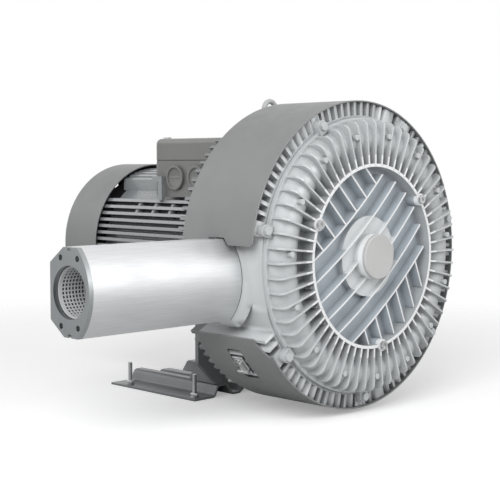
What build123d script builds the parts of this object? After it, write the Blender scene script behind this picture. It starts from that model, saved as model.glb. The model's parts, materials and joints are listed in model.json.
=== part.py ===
"""Two-stage side channel blower: ribbed blower head, finned motor, two silencers and a foot plate.

Millimetres, +Z up. The shaft lies along Y with the ribbed cover towards -Y. The origin is on the
floor, in the middle of the four foot studs. Depths are measured backwards from the front edge of
the shroud, radii from the shaft axis, and angles from +X towards +Z as seen from the front.
"""
from build123d import *
import os
from math import cos, radians, sin, sqrt

os.makedirs("parts", exist_ok=True)

# General layout
axis_height = 206
foot_spacing_x = 190
foot_spacing_y = 140
foot_centre_depth = 287
running_gap = 0.4
seat_gap = 0.3
bore_gap = 0.04
hole_gap = 0.25

# Shroud around the casing
shroud_radius = 200
shroud_sheet = 1.6
shroud_depth = 124
upper_shroud_start = 174
lower_shroud_start = 208
shroud_split = -22
split_gap = 0.5
window_start = 214
window_end = 230
window_front = 54
window_back = 80
sheet_corner = 5
corner_cut_depth = 20
corner_cut_length = 38

# Side channel and the two stages
stage_depth = 3
channel_radius = 151
channel_passage = 17.5
channel_wall = 5
impeller_width = 50
divider_thickness = 10
interrupter_angle = 270
interrupter_half_width = 16

# Front cover
flange_radius = 178
flange_thickness = 6
rib_count = 60
rib_thickness = 2.4
rib_proud = 5
rib_round = 9
ring_radius = 117
ring_width = 4
ring_height = 27
disc_thickness = 8
hub_radius = 29
hub_height = 30
collar_radius = 52
collar_height = 16
small_boss_count = 15
small_boss_radius = 3.6
small_boss_circle = 156
small_boss_angle = 8
ring_boss_radius = 8
ring_boss_angle = 37.5
bolt_circle = 184
bolt_boss_radius = 7.5
bolt_boss_height = 9
bolt_boss_count = 7
bolt_boss_angle = 64.8

# Ribs on the sunk disc of the cover
inner_rib_thickness = 2.2
inner_rib_height = 15
long_rib_bend = 690
long_rib_sweep = 24
long_rib_angle = 128.8
long_rib_first = 65
long_rib_pitch = 26.4
long_rib_count = 6
long_rib_trim = 114
long_rib_trim_shift = 6
cross_rib_angle = -44.5
cross_rib_first = 70.8
cross_rib_pitch = 25.7
cross_rib_count = 6
short_rib_angle = -67
short_rib_first = 78
short_rib_pitch = 25.6
short_rib_count = 6

# Casing
drum_wall = 6
fin_count = 96
fin_thickness = 4.6
fin_overhang = 12
fin_gap_start = 169
fin_gap_end = 209
rear_wall = 11
adapter_radius = 118
adapter_wall = 16
adapter_depth = 150
seal_radius = 26
seal_width = 8

# Impellers
impeller_radius = 174
blade_count = 36
blade_thickness = 2.6
web_thickness = 10
impeller_hub_radius = 28
impeller_recess = 10
rim_inner_radius = 121

# Shaft
impeller_seat_radius = 14
nose_radius = 12
nut_radius = 19
nut_width = 7
washer_thickness = 1.5
seal_seat_radius = 17.5
core_seat_radius = 21
fan_seat_radius = 11
key_width = 8
key_height = 7
fan_key_width = 6
key_margin = 6

# Bearings
front_bearing_bore = 10
front_bearing_outer = 23.5
front_bearing_width = 14
drive_bearing_outer = 40
drive_bearing_width = 21
rear_bearing_bore = 12.5
rear_bearing_outer = 26
rear_bearing_width = 15
bearing_ring_share = 0.3
bearing_groove_share = 0.9
bearing_lip = 3
cap_thickness = 5
cap_spigot = 4
cap_chamfer = 1.2
bore_clearance = 4

# Motor
frame_radius = 112
frame_core_radius = 98
frame_bore_radius = 88
frame_front = 190
frame_back = 400
plain_ring = 25
frame_fin_pitch = 9.4
frame_fin_thickness = 4.2
side_fin_count = 15
end_fin_count = 13
shield_web = 8
shield_wall = 8
bearing_hub_wall = 9
shield_bolt_circle = 111
shield_bolt_count = 8
shield_bolt_angle = 22.5
shield_bolt_length = 20
spigot_length = 6
stator_length = 140
stator_bore = 56
stator_slots = 24
slot_width = 5
slot_depth = 20
winding_length = 26
winding_inner = 60
winding_outer = 83
air_gap = 0.5
end_ring_width = 10
end_ring_inner = 30

# Motor fan and cowl
cowl_radius = 118
cowl_sheet = 1.6
cowl_depth = 408
cowl_length = 80
cowl_corner = 9
cowl_lug_angle = 70
cowl_lug_count = 3
fan_hub_radius = 20
fan_depth = 434
fan_length = 30
fan_radius = 100
fan_blade_count = 8
fan_disc_thickness = 3
fan_blade_thickness = 3
grille_rings = 3
grille_first_radius = 34
grille_ring_pitch = 24
grille_slot_length = 17
grille_slot_width = 8
grille_slots = 18

# Terminal box
box_half_width = 86
box_front = 152
box_length = 160
box_bottom = 67
box_top = 123
lid_height = 30
box_wall = 4
box_corner = 10
gasket_thickness = 1
pedestal_half_width = 50
pedestal_length = 100
lid_post_radius = 5.5
lid_screw_inset = 14
lid_screw_reach = 16
entry_radius = 15.5
entry_depth_first = 219
entry_depth_second = 263
entry_height = 99
lug_depth = 286
lug_length = 20
lug_height = 34
lug_thickness = 8

# Silencers
silencer_length = 230
silencer_start = 186
silencer_depth = 65
silencer_drop = 22
silencer_half_height = 50
silencer_bulge = 36
silencer_back = 35
silencer_shoulder = 15
silencer_chamfer = 25
silencer_far_half = 32
silencer_wall = 3.5
silencer_groove_width = 6
silencer_groove_depth = 4
silencer_bolt_offset = 43.5
silencer_bolt_reach = 8
silencer_pocket_depth = 12.5
silencer_pocket_start = 8
silencer_pocket_length = 16
silencer_channel_half = 7
silencer_channel_depth = 14
end_plate_thickness = 6
port_radius = 29.8
liner_radius = 29
liner_sheet = 1
port_hole_x = 15.4
port_hole_z = 38
port_hole_radius = 3.4
port_hole_depth = 5
neck_length = 12
neck_flare = 10
outlet_offset = 158

# Foot plate and supports
plate_sheet = 3
plate_half_width = 106
plate_length = 183
plate_overhang = 82
plate_bend = 6
crest_height = 15
crest_inner = 45
crest_outer = 61
flange_inner = 68
valley_outer = 34
valley_inner = 20
middle_half_width = 8
middle_height = 8
support_sheet = 6
support_depth = 206
strap_width = 22
strap_sheet = 5
strap_half_angle = 62
support_half_width = 98
support_shoulder_drop = 155
support_foot_width = 20
support_foot_length = 56
support_arch_drop = 160
gusset_sheet = 3
gusset_height = 50

# Fasteners
m6_radius = 3
m6_head_radius = 5.8
m6_head_height = 4
m6_nut_height = 5
m6_washer_radius = 6.2
m6_washer_thickness = 1.2
stud_height = 35
eye_radius = 11
eye_wire = 3.6
eye_collar_radius = 8
eye_depth = 165
eye_height = 193.5
eye_boss_half = 9
eye_boss_foot = 158
eye_stem = 14
shroud_screw_count = 4
shroud_screw_first = 283
shroud_screw_pitch = 50
shroud_screw_depth = 20
screw_reach = 11

# Places worked out from the sizes above
rim_y = -foot_centre_depth
channel_outer = channel_passage + channel_wall
channel_inner_edge = channel_radius - channel_outer
channel_outer_edge = channel_radius + channel_outer
cover_front = stage_depth - flange_thickness
rib_crest = stage_depth - channel_outer - rib_proud
ring_front = stage_depth - ring_height
disc_front = stage_depth - disc_thickness
hub_front = stage_depth - hub_height
collar_front = stage_depth - collar_height
cap_front = hub_front - cap_thickness
boss_front = stage_depth - bolt_boss_height
front_impeller_face = stage_depth + running_gap
front_impeller_back = front_impeller_face + impeller_width
divider_front = front_impeller_back + running_gap
divider_back = divider_front + divider_thickness
rear_impeller_face = divider_back + running_gap
rear_impeller_back = rear_impeller_face + impeller_width
rear_stage = rear_impeller_back + running_gap
rear_crest = rear_stage + channel_outer
rear_rib_crest = rear_crest + rib_proud
rear_wall_back = rear_stage + rear_wall
drum_bore = impeller_radius + 2 * running_gap
drum_radius = drum_bore + drum_wall
ledge_radius = drum_bore + 1.5
shroud_bore = shroud_radius - shroud_sheet
fin_radius = shroud_bore - seat_gap
fin_end = shroud_depth + fin_overhang
rib_end = flange_radius - rib_thickness
front_bearing_front = hub_front + cap_spigot
front_bearing_back = front_bearing_front + front_bearing_width
drive_bearing_front = adapter_depth + bearing_lip
drive_bearing_back = drive_bearing_front + drive_bearing_width
stator_front = (frame_front + frame_back - stator_length) / 2
stator_back = stator_front + stator_length
rear_bearing_front = frame_back + bearing_lip
rear_bearing_back = rear_bearing_front + rear_bearing_width
hub_seat_front = front_impeller_face + impeller_recess
cowl_back = cowl_depth + cowl_length
cowl_bore = cowl_radius - cowl_sheet
crest_top = crest_height + plate_sheet
box_back = box_front + box_length
eye_seat = eye_height - eye_radius - eye_wire - m6_washer_thickness
pedestal_top = frame_radius + 1
fin_front = frame_front + plain_ring
fin_back = cowl_depth + spigot_length
pedestal_front = frame_front + shield_web
neck_drum_radius = frame_radius - shield_wall


def section_at(angle):
    """Half plane through the shaft axis: first value is the depth, second the radius."""
    turn = radians(angle)
    return Plane(origin=(0, rim_y, axis_height), x_dir=(0, 1, 0), z_dir=(sin(turn), 0, -cos(turn)))


def facing_front(depth):
    """Plane square to the shaft that faces the front, with +Z as its second direction."""
    return Plane(origin=(0, rim_y + depth, axis_height), x_dir=(1, 0, 0), z_dir=(0, -1, 0))


def band(front, back, inner, outer, mode=Mode.ADD):
    """Rectangle of a section between two depths and two radii."""
    with Locations(((front + back) / 2, (inner + outer) / 2)):
        Rectangle(back - front, outer - inner, mode=mode)


def level_at(height, depth):
    """Horizontal plane at a height above the shaft, centred on the shaft at a depth."""
    return Plane(origin=(0, rim_y + depth, axis_height + height))


def outward(angle, depth, radius):
    """Plane square to a radius, at an angle, a depth and a distance from the shaft."""
    turn = radians(angle)
    place = (radius * cos(turn), rim_y + depth, axis_height + radius * sin(turn))
    return Plane(origin=place, x_dir=(0, 1, 0), z_dir=(cos(turn), 0, sin(turn)))


def spots(radius, start, count):
    """Evenly spaced places on a circle around the shaft."""
    return PolarLocations(radius, count, start_angle=start)


section = section_at(90)
shaft_axis = Axis((0, 0, axis_height), (0, 1, 0))


def turns(start, count):
    """Evenly spaced angles of a full turn."""
    return [start + 360 * index / count for index in range(count)]


shroud_screw_angles = [shroud_screw_first + index * shroud_screw_pitch for index in range(shroud_screw_count)]
cowl_screw_angles = turns(cowl_lug_angle, cowl_lug_count)


def rib_outline(base, crest, turn):
    """Section of the channel ribs, with a rounded corner where the crest turns back to the base."""
    with BuildSketch(section) as outline:
        with BuildLine():
            Polyline((base, rib_end), (base, ring_radius), (crest, ring_radius), (crest, rib_end - rib_round))
            bend = JernArc((crest, rib_end - rib_round), (0, 1), rib_round, turn)
            Line(bend @ 1, (base, rib_end))
        make_face()
    return outline.sketch


# Front cover: ribs of the channel
with BuildPart() as cover_ribs:
    add(rib_outline(stage_depth, rib_crest, -90))
    revolve(axis=shaft_axis)
    with BuildSketch(facing_front(stage_depth)):
        with spots((ring_radius + flange_radius) / 2, 0, rib_count):
            Rectangle(flange_radius - ring_radius, rib_thickness)
    extrude(amount=ring_height + rib_proud, mode=Mode.INTERSECT)

# Front cover: slanted ribs of the sunk disc
long_rib_normal = radians(long_rib_angle)


def bend_centre(offset):
    """Centre of the arc of a long rib that passes the shaft at this distance."""
    reach = offset + long_rib_bend
    return (reach * cos(long_rib_normal), reach * sin(long_rib_normal))


with BuildPart() as disc_ribs:
    with BuildSketch(facing_front(disc_front)):
        for index in range(long_rib_count):
            with BuildLine():
                CenterArc(
                    bend_centre(long_rib_first - index * long_rib_pitch),
                    long_rib_bend,
                    long_rib_angle + 180 - long_rib_sweep / 2,
                    long_rib_sweep,
                )
            trace(line_width=inner_rib_thickness)
        with Locations((-long_rib_trim_shift, -long_rib_trim_shift)):
            Circle(long_rib_trim, mode=Mode.INTERSECT)
    extrude(amount=inner_rib_height)

with BuildPart() as crossing_ribs:
    with BuildSketch(facing_front(disc_front)):
        for index in range(cross_rib_count):
            rib_place = cross_rib_first - index * cross_rib_pitch
            with Locations(Location((0, 0), cross_rib_angle)):
                with Locations((0, rib_place)):
                    Rectangle(2 * ring_radius, inner_rib_thickness)
        Circle(ring_radius, mode=Mode.INTERSECT)
        with Locations(bend_centre(long_rib_first)):
            Circle(long_rib_bend, mode=Mode.INTERSECT)
    extrude(amount=inner_rib_height)

with BuildPart() as short_ribs:
    with BuildSketch(facing_front(disc_front)):
        for index in range(short_rib_count):
            rib_place = short_rib_first - index * short_rib_pitch
            with Locations(Location((0, 0), short_rib_angle)):
                with Locations((0, rib_place)):
                    Rectangle(2 * ring_radius, inner_rib_thickness)
        Circle(long_rib_trim, mode=Mode.INTERSECT)
        with Locations(bend_centre(long_rib_first - (long_rib_count - 1) * long_rib_pitch)):
            Circle(long_rib_bend, mode=Mode.SUBTRACT)
    extrude(amount=inner_rib_height)

# Front cover: half channel, flange, sunk disc, ring and hub in one casting
with BuildPart() as front_cover:
    with BuildSketch(section):
        with Locations((stage_depth, channel_radius)):
            Circle(channel_outer)
        band(stage_depth, stage_depth + channel_outer, channel_inner_edge, channel_outer_edge, Mode.SUBTRACT)
        band(cover_front, stage_depth, channel_radius, flange_radius)
        band(disc_front, stage_depth, 0, channel_radius)
        band(ring_front, stage_depth, ring_radius - ring_width / 2, ring_radius + ring_width / 2)
        band(collar_front, stage_depth, 0, collar_radius)
        band(hub_front, stage_depth, 0, hub_radius)
    revolve(axis=shaft_axis)
    add(disc_ribs.part)
    add(crossing_ribs.part)
    add(short_ribs.part)
    add(cover_ribs.part)
    with BuildSketch(facing_front(disc_front)):
        with spots(ring_radius, ring_boss_angle, 3):
            Circle(ring_boss_radius)
    extrude(amount=ring_height - disc_thickness + 1)
    with BuildSketch(facing_front(stage_depth)):
        with spots(bolt_circle, bolt_boss_angle, bolt_boss_count):
            Circle(bolt_boss_radius)
        with spots((bolt_circle + channel_outer_edge) / 2, bolt_boss_angle, bolt_boss_count):
            Rectangle(bolt_circle - channel_outer_edge, 2 * bolt_boss_radius)
    extrude(amount=bolt_boss_height)
    with BuildSketch(facing_front(rib_crest + rib_proud + channel_wall / 2)):
        with spots(small_boss_circle, small_boss_angle, small_boss_count):
            Circle(small_boss_radius)
    extrude(amount=rib_proud + channel_wall / 2 + 1)
    with BuildSketch(section_at(interrupter_angle - interrupter_half_width)):
        with Locations((stage_depth, channel_radius)):
            Circle(channel_passage)
    revolve(axis=shaft_axis, revolution_arc=360 - 2 * interrupter_half_width, mode=Mode.SUBTRACT)
    with BuildSketch(section):
        band(hub_front - 1, front_bearing_back, 0, front_bearing_outer)
        band(front_bearing_back, stage_depth + 1, 0, nose_radius + bore_clearance)
    revolve(axis=shaft_axis, mode=Mode.SUBTRACT)
    with BuildSketch(facing_front(stage_depth)):
        with spots(bolt_circle, bolt_boss_angle, bolt_boss_count):
            Circle(m6_radius + hole_gap)
    extrude(amount=bolt_boss_height, mode=Mode.SUBTRACT)
    with BuildSketch(facing_front(boss_front)):
        with spots(bolt_circle, bolt_boss_angle, bolt_boss_count):
            Circle(bolt_boss_radius)
    extrude(amount=2 * m6_head_height, mode=Mode.SUBTRACT)
    with BuildSketch(facing_front(disc_front)):
        with spots(ring_radius, ring_boss_angle, 3):
            Circle(m6_radius + hole_gap)
    extrude(amount=ring_height, mode=Mode.SUBTRACT)
front_cover.part.label = "front_cover"
export_step(front_cover.part, "parts/front_cover.step")

# Round cap over the front bearing
with BuildPart() as hub_cap:
    with BuildSketch(section):
        band(cap_front, hub_front, 0, hub_radius)
        band(hub_front, front_bearing_front, nose_radius + bore_clearance, front_bearing_outer - bore_gap)
    revolve(axis=shaft_axis)
    chamfer(hub_cap.edges().group_by(Axis.Y)[0], length=cap_chamfer)
hub_cap.part.label = "hub_cap"
export_step(hub_cap.part, "parts/hub_cap.step")

# Socket screws in the three bosses on the ring
with BuildPart() as ring_screws:
    with BuildSketch(facing_front(ring_front - 1)):
        with spots(ring_radius, ring_boss_angle, 3):
            Circle(m6_head_radius)
    extrude(amount=m6_head_height)
    with BuildSketch(facing_front(ring_front - 1 - m6_head_height)):
        with spots(ring_radius, ring_boss_angle, 3):
            RegularPolygon(m6_radius, 6)
    extrude(amount=-m6_head_height / 2, mode=Mode.SUBTRACT)
    with BuildSketch(facing_front(disc_front)):
        with spots(ring_radius, ring_boss_angle, 3):
            Circle(m6_radius)
    extrude(amount=disc_front - ring_front + 1)
ring_screws.part.label = "ring_screws"
export_step(ring_screws.part, "parts/ring_screws.step")

# Hexagon bolts that hold the cover on the casing
bolt_reach = bolt_boss_height + 20
with BuildPart() as cover_bolts:
    with BuildSketch(facing_front(boss_front)):
        with spots(bolt_circle, bolt_boss_angle, bolt_boss_count):
            RegularPolygon(m6_head_radius, 6)
    extrude(amount=m6_head_height)
    with BuildSketch(facing_front(boss_front)):
        with spots(bolt_circle, bolt_boss_angle, bolt_boss_count):
            Circle(m6_radius)
    extrude(amount=-bolt_reach)
cover_bolts.part.label = "cover_bolts"
export_step(cover_bolts.part, "parts/cover_bolts.step")

# Divider between the two stages
sleeve_radius = impeller_hub_radius + 2
with BuildPart() as divider_plate:
    with BuildSketch(section):
        band(divider_front, divider_back, sleeve_radius + running_gap, ledge_radius - bore_gap)
    revolve(axis=shaft_axis)
divider_plate.part.label = "divider_plate"
export_step(divider_plate.part, "parts/divider_plate.step")

# Silencer outline: bulged on one side, flat with two chamfers on the other
with BuildSketch() as silencer_outline:
    with BuildLine():
        ThreePointArc(
            (silencer_shoulder, silencer_half_height),
            (silencer_bulge, 0),
            (silencer_shoulder, -silencer_half_height),
        )
        Polyline(
            (silencer_shoulder, -silencer_half_height),
            (silencer_chamfer - silencer_back, -silencer_half_height),
            (-silencer_back, -silencer_far_half),
            (-silencer_back, silencer_far_half),
            (silencer_chamfer - silencer_back, silencer_half_height),
            (silencer_shoulder, silencer_half_height),
        )
    make_face()

silencer_height = axis_height - silencer_drop
inlet_base = Plane(
    origin=(-silencer_start, rim_y + silencer_depth, silencer_height), x_dir=(0, -1, 0), z_dir=(-1, 0, 0)
)
outlet_start = rim_y + rear_crest + neck_length
outlet_base = Plane(origin=(outlet_offset, outlet_start, silencer_height), x_dir=(1, 0, 0), z_dir=(0, 1, 0))

# Blower casing: drum with fins, rear half channel, adapter to the motor and two ports
with BuildPart() as casing_ribs:
    add(rib_outline(rear_stage, rear_rib_crest, 90))
    revolve(axis=shaft_axis)
    with BuildSketch(facing_front(rear_rib_crest)):
        with spots((ring_radius + flange_radius) / 2, 0, rib_count):
            Rectangle(flange_radius - ring_radius, rib_thickness)
    extrude(amount=rear_rib_crest - rear_stage, mode=Mode.INTERSECT)

fin_pitch = 360 / fin_count
fin_middle = (drum_radius + fin_radius - 1) / 2
with BuildPart() as blower_housing:
    with BuildSketch(section):
        band(stage_depth, rear_stage, drum_bore, drum_radius)
        with Locations((rear_stage, channel_radius)):
            Circle(channel_outer)
        band(rear_stage - channel_outer, rear_stage, channel_inner_edge, channel_outer_edge, Mode.SUBTRACT)
        band(rear_stage, rear_stage + drum_wall, channel_radius, drum_radius)
        band(rear_stage, rear_wall_back, seal_radius, channel_radius)
        band(rear_wall_back, adapter_depth, adapter_radius - adapter_wall, adapter_radius)
    revolve(axis=shaft_axis)
    add(casing_ribs.part)
    with BuildSketch(facing_front(fin_end)):
        with PolarLocations(
            fin_middle,
            round((360 - fin_gap_end + fin_gap_start) / fin_pitch),
            start_angle=fin_gap_end,
            angular_range=360 - fin_gap_end + fin_gap_start,
            endpoint=True,
        ):
            Rectangle(fin_radius - drum_radius + 1, fin_thickness)
    extrude(amount=fin_end - stage_depth)
    with BuildSketch(facing_front(stage_depth + bolt_reach)):
        with spots(bolt_circle, bolt_boss_angle, bolt_boss_count):
            Circle(bolt_boss_radius)
        with spots(fin_middle, bolt_boss_angle, bolt_boss_count):
            Rectangle(fin_radius - drum_radius, 2 * bolt_boss_radius)
        with PolarLocations(
            fin_middle,
            shroud_screw_count,
            start_angle=shroud_screw_first,
            angular_range=shroud_screw_angles[-1] - shroud_screw_first,
            endpoint=True,
        ):
            Rectangle(fin_radius - drum_radius, 2 * bolt_boss_radius)
    extrude(amount=bolt_reach)
    with BuildSketch(section):
        with BuildLine():
            Polyline(
                (rear_stage + drum_wall / 2, eye_boss_foot),
                (eye_depth + eye_boss_half, eye_boss_foot),
                (eye_depth + eye_boss_half, eye_seat),
                (eye_depth - eye_boss_half, eye_seat),
                (rear_stage + drum_wall / 2, drum_radius - drum_wall),
                close=True,
            )
        make_face()
    extrude(amount=eye_boss_half, both=True)
    with BuildSketch(inlet_base):
        add(silencer_outline.sketch)
    with BuildSketch(inlet_base.offset(-neck_length)):
        add(offset(silencer_outline.sketch, amount=neck_flare, kind=Kind.ARC, mode=Mode.PRIVATE))
    loft()
    with BuildSketch(outlet_base):
        add(silencer_outline.sketch)
    with BuildSketch(outlet_base.offset(-neck_length - channel_passage)):
        add(silencer_outline.sketch)
    loft()
    with BuildSketch(section):
        band(stage_depth - 1, divider_back, 0, ledge_radius)
        band(divider_back, rear_stage, 0, drum_bore)
    revolve(axis=shaft_axis, mode=Mode.SUBTRACT)
    with BuildSketch(section_at(interrupter_angle - interrupter_half_width)):
        with Locations((rear_stage, channel_radius)):
            Circle(channel_passage)
    revolve(axis=shaft_axis, revolution_arc=360 - 2 * interrupter_half_width, mode=Mode.SUBTRACT)
    with BuildSketch(inlet_base):
        Circle(liner_radius)
    extrude(amount=-silencer_start / 4, mode=Mode.SUBTRACT)
    with BuildSketch(outlet_base):
        Circle(channel_passage)
    extrude(amount=-channel_outer, mode=Mode.SUBTRACT)
    with BuildSketch(facing_front(stage_depth + bolt_reach)):
        with spots(bolt_circle, bolt_boss_angle, bolt_boss_count):
            Circle(m6_radius + hole_gap)
    extrude(amount=bolt_reach, mode=Mode.SUBTRACT)
    with BuildSketch(facing_front(adapter_depth)):
        with spots(shield_bolt_circle, shield_bolt_angle, shield_bolt_count):
            Circle(m6_radius + hole_gap)
    extrude(amount=shield_bolt_length, mode=Mode.SUBTRACT)
    for base in (inlet_base, outlet_base):
        with BuildSketch(base):
            with GridLocations(0, 2 * silencer_bolt_offset, 1, 2):
                Circle(m6_radius + hole_gap)
        extrude(amount=-silencer_bolt_reach - 1, mode=Mode.SUBTRACT)
    with BuildSketch(level_at(eye_seat, eye_depth)):
        Circle(m6_radius + hole_gap)
    extrude(amount=-eye_stem, mode=Mode.SUBTRACT)
    for angle in shroud_screw_angles:
        with BuildSketch(outward(angle, shroud_screw_depth, shroud_bore)):
            Circle(m6_radius + hole_gap)
        extrude(amount=-screw_reach, mode=Mode.SUBTRACT)
blower_housing.part.label = "blower_housing"
export_step(blower_housing.part, "parts/blower_housing.step")

# Impellers: bladed trough in the rim, web and keyed hub
front_key = (hub_seat_front + key_margin, front_impeller_back - key_margin)
rear_key = (rear_impeller_face + key_margin, rear_impeller_back - key_margin)


def impeller(face, back, hub_front_end):
    """Impeller whose bladed trough opens at face and whose flat side is at back."""
    low, high = min(face, back), max(face, back)
    towards_back = 1 if back > face else -1
    web_middle = back - towards_back * web_thickness * 1.5
    with BuildPart() as wheel:
        with BuildSketch(section):
            band(low, high, rim_inner_radius, impeller_radius)
            with Locations((face, channel_radius)):
                Circle(channel_passage, mode=Mode.SUBTRACT)
            with Locations((web_middle, (impeller_hub_radius + rim_inner_radius) / 2)):
                Rectangle(web_thickness, rim_inner_radius - impeller_hub_radius + 2)
            band(hub_front_end, high, impeller_seat_radius + bore_gap, impeller_hub_radius)
        revolve(axis=shaft_axis)
        with BuildSketch(facing_front(face)):
            with spots(channel_radius, 0, blade_count):
                Rectangle(2 * channel_passage + 1, blade_thickness)
        extrude(amount=-towards_back * (channel_passage + 1))
        with BuildSketch(facing_front(high)):
            with Locations((0, impeller_seat_radius)):
                Rectangle(key_width + bore_gap, key_height + 2 * bore_gap)
        extrude(amount=high - low, mode=Mode.SUBTRACT)
    return wheel.part


front_impeller = impeller(front_impeller_face, front_impeller_back, hub_seat_front)
front_impeller.label = "front_impeller"
export_step(front_impeller, "parts/front_impeller.step")

rear_impeller = impeller(rear_impeller_back, rear_impeller_face, rear_impeller_face)
rear_impeller.label = "rear_impeller"
export_step(rear_impeller, "parts/rear_impeller.step")

# Sleeve between the hubs of the two impellers
with BuildPart() as impeller_spacer:
    with BuildSketch(section):
        band(front_impeller_back, rear_impeller_face, impeller_seat_radius + bore_gap, sleeve_radius)
    revolve(axis=shaft_axis)
impeller_spacer.part.label = "impeller_spacer"
export_step(impeller_spacer.part, "parts/impeller_spacer.step")

# Slotted nut and tab washer that clamp the impellers on the shaft
with BuildPart() as lock_washer:
    with BuildSketch(section):
        band(hub_seat_front - washer_thickness, hub_seat_front, nose_radius + bore_gap, nut_radius + 2)
    revolve(axis=shaft_axis)
lock_washer.part.label = "lock_washer"
export_step(lock_washer.part, "parts/lock_washer.step")

nut_back = hub_seat_front - washer_thickness
with BuildPart() as lock_nut:
    with BuildSketch(section):
        band(nut_back - nut_width, nut_back, nose_radius + bore_gap, nut_radius)
    revolve(axis=shaft_axis)
    with BuildSketch(facing_front(nut_back)):
        with spots(nut_radius, 0, 4):
            Rectangle(nut_width, nut_width)
    extrude(amount=nut_width, mode=Mode.SUBTRACT)
lock_nut.part.label = "lock_nut"
export_step(lock_nut.part, "parts/lock_nut.step")

# Shaft with seats for bearings, impellers, rotor core and fan
fan_back = fan_depth + fan_length
fan_key = (fan_depth + key_margin, fan_back - key_margin)
with BuildPart() as shaft:
    with BuildSketch(section):
        band(front_bearing_front + 1, front_bearing_back, 0, front_bearing_bore)
        band(front_bearing_back, hub_seat_front, 0, nose_radius)
        band(hub_seat_front, rear_impeller_back, 0, impeller_seat_radius)
        band(rear_impeller_back, drive_bearing_back, 0, seal_seat_radius)
        band(drive_bearing_back, rear_bearing_front, 0, core_seat_radius)
        band(rear_bearing_front, rear_bearing_back, 0, rear_bearing_bore)
        band(rear_bearing_back, fan_back + key_margin, 0, fan_seat_radius)
    revolve(axis=shaft_axis)
    for start, end, seat, width, height in (
        (*front_key, impeller_seat_radius, key_width, key_height),
        (*rear_key, impeller_seat_radius, key_width, key_height),
        (*fan_key, fan_seat_radius, fan_key_width, fan_key_width),
    ):
        with BuildSketch(facing_front(end)):
            with Locations((0, seat)):
                Rectangle(width, height)
        extrude(amount=end - start, mode=Mode.SUBTRACT)
    with BuildSketch(section):
        ring_middle = fan_back + m6_washer_thickness
        band(ring_middle, ring_middle + m6_washer_thickness, fan_seat_radius - 1, fan_seat_radius)
    revolve(axis=shaft_axis, mode=Mode.SUBTRACT)
shaft.part.label = "shaft"
export_step(shaft.part, "parts/shaft.step")

# Parallel keys of the impellers and the fan
with BuildPart() as shaft_keys:
    for start, end, seat, width, height in (
        (*front_key, impeller_seat_radius, key_width, key_height),
        (*rear_key, impeller_seat_radius, key_width, key_height),
        (*fan_key, fan_seat_radius, fan_key_width, fan_key_width),
    ):
        with BuildSketch(facing_front(end)):
            with Locations((0, seat)):
                Rectangle(width, height)
        extrude(amount=end - start)
shaft_keys.part.label = "shaft_keys"
export_step(shaft_keys.part, "parts/shaft_keys.step")

# Shaft seal in the rear wall of the casing
seal_front = rear_wall_back - seal_width
with BuildPart() as shaft_seal:
    with BuildSketch(section):
        band(seal_front, rear_wall_back, seal_seat_radius + bore_gap, seal_radius - bore_gap)
        band(seal_front, rear_wall_back - 2, seal_seat_radius + 2, seal_radius - 3, Mode.SUBTRACT)
    revolve(axis=shaft_axis)
shaft_seal.part.label = "shaft_seal"
export_step(shaft_seal.part, "parts/shaft_seal.step")

# Ball bearings: outer ring with its shields, and inner ring
bearings = (
    ("front_bearing", front_bearing_front, front_bearing_width, front_bearing_bore, front_bearing_outer),
    ("drive_bearing", drive_bearing_front, drive_bearing_width, seal_seat_radius, drive_bearing_outer),
    ("rear_bearing", rear_bearing_front, rear_bearing_width, rear_bearing_bore, rear_bearing_outer),
)
for name, front, width, bore, outer in bearings:
    ring = bearing_ring_share * (outer - bore)
    race = (bore + outer) / 2
    with BuildPart() as outer_ring:
        with BuildSketch(section):
            band(front, front + width, outer - ring, outer - bore_gap)
            band(front, front + 1, bore + ring + running_gap, outer - ring)
            band(front + width - 1, front + width, bore + ring + running_gap, outer - ring)
            with Locations((front + width / 2, race)):
                Circle(ring * bearing_groove_share, mode=Mode.SUBTRACT)
        revolve(axis=shaft_axis)
    outer_ring.part.label = f"{name}_outer_ring"
    export_step(outer_ring.part, f"parts/{name}_outer_ring.step")
    with BuildPart() as inner_ring:
        with BuildSketch(section):
            band(front, front + width, bore + bore_gap, bore + ring)
            with Locations((front + width / 2, race)):
                Circle(ring * bearing_groove_share, mode=Mode.SUBTRACT)
        revolve(axis=shaft_axis)
    inner_ring.part.label = f"{name}_inner_ring"
    export_step(inner_ring.part, f"parts/{name}_inner_ring.step")

# Wave washer that preloads the rear bearing
with BuildPart() as preload_spring:
    with BuildSketch(section):
        band(rear_bearing_back, rear_bearing_back + 1, rear_bearing_outer - 5, rear_bearing_outer - bore_gap)
    revolve(axis=shaft_axis)
preload_spring.part.label = "preload_spring"
export_step(preload_spring.part, "parts/preload_spring.step")

# Drive-end shield between casing and motor frame
shield_bore = seal_seat_radius + bore_clearance / 2
spigot_bore = frame_bore_radius - shield_wall
with BuildPart() as drive_end_shield:
    with BuildSketch(section):
        band(adapter_depth, adapter_depth + shield_web, shield_bore, adapter_radius)
        band(adapter_depth, drive_bearing_back, shield_bore, drive_bearing_outer + bearing_hub_wall)
        band(adapter_depth, frame_front, neck_drum_radius - shield_wall, neck_drum_radius)
        band(frame_front - shield_web, frame_front, spigot_bore, frame_radius)
        band(frame_front, frame_front + spigot_length, spigot_bore, frame_bore_radius - bore_gap)
        band(drive_bearing_front, drive_bearing_back, 0, drive_bearing_outer, Mode.SUBTRACT)
    revolve(axis=shaft_axis)
    with BuildSketch(facing_front(adapter_depth + shield_web)):
        with spots(shield_bolt_circle, shield_bolt_angle, shield_bolt_count):
            Circle(m6_radius + hole_gap)
    extrude(amount=shield_web, mode=Mode.SUBTRACT)
drive_end_shield.part.label = "drive_end_shield"
export_step(drive_end_shield.part, "parts/drive_end_shield.step")

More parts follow.
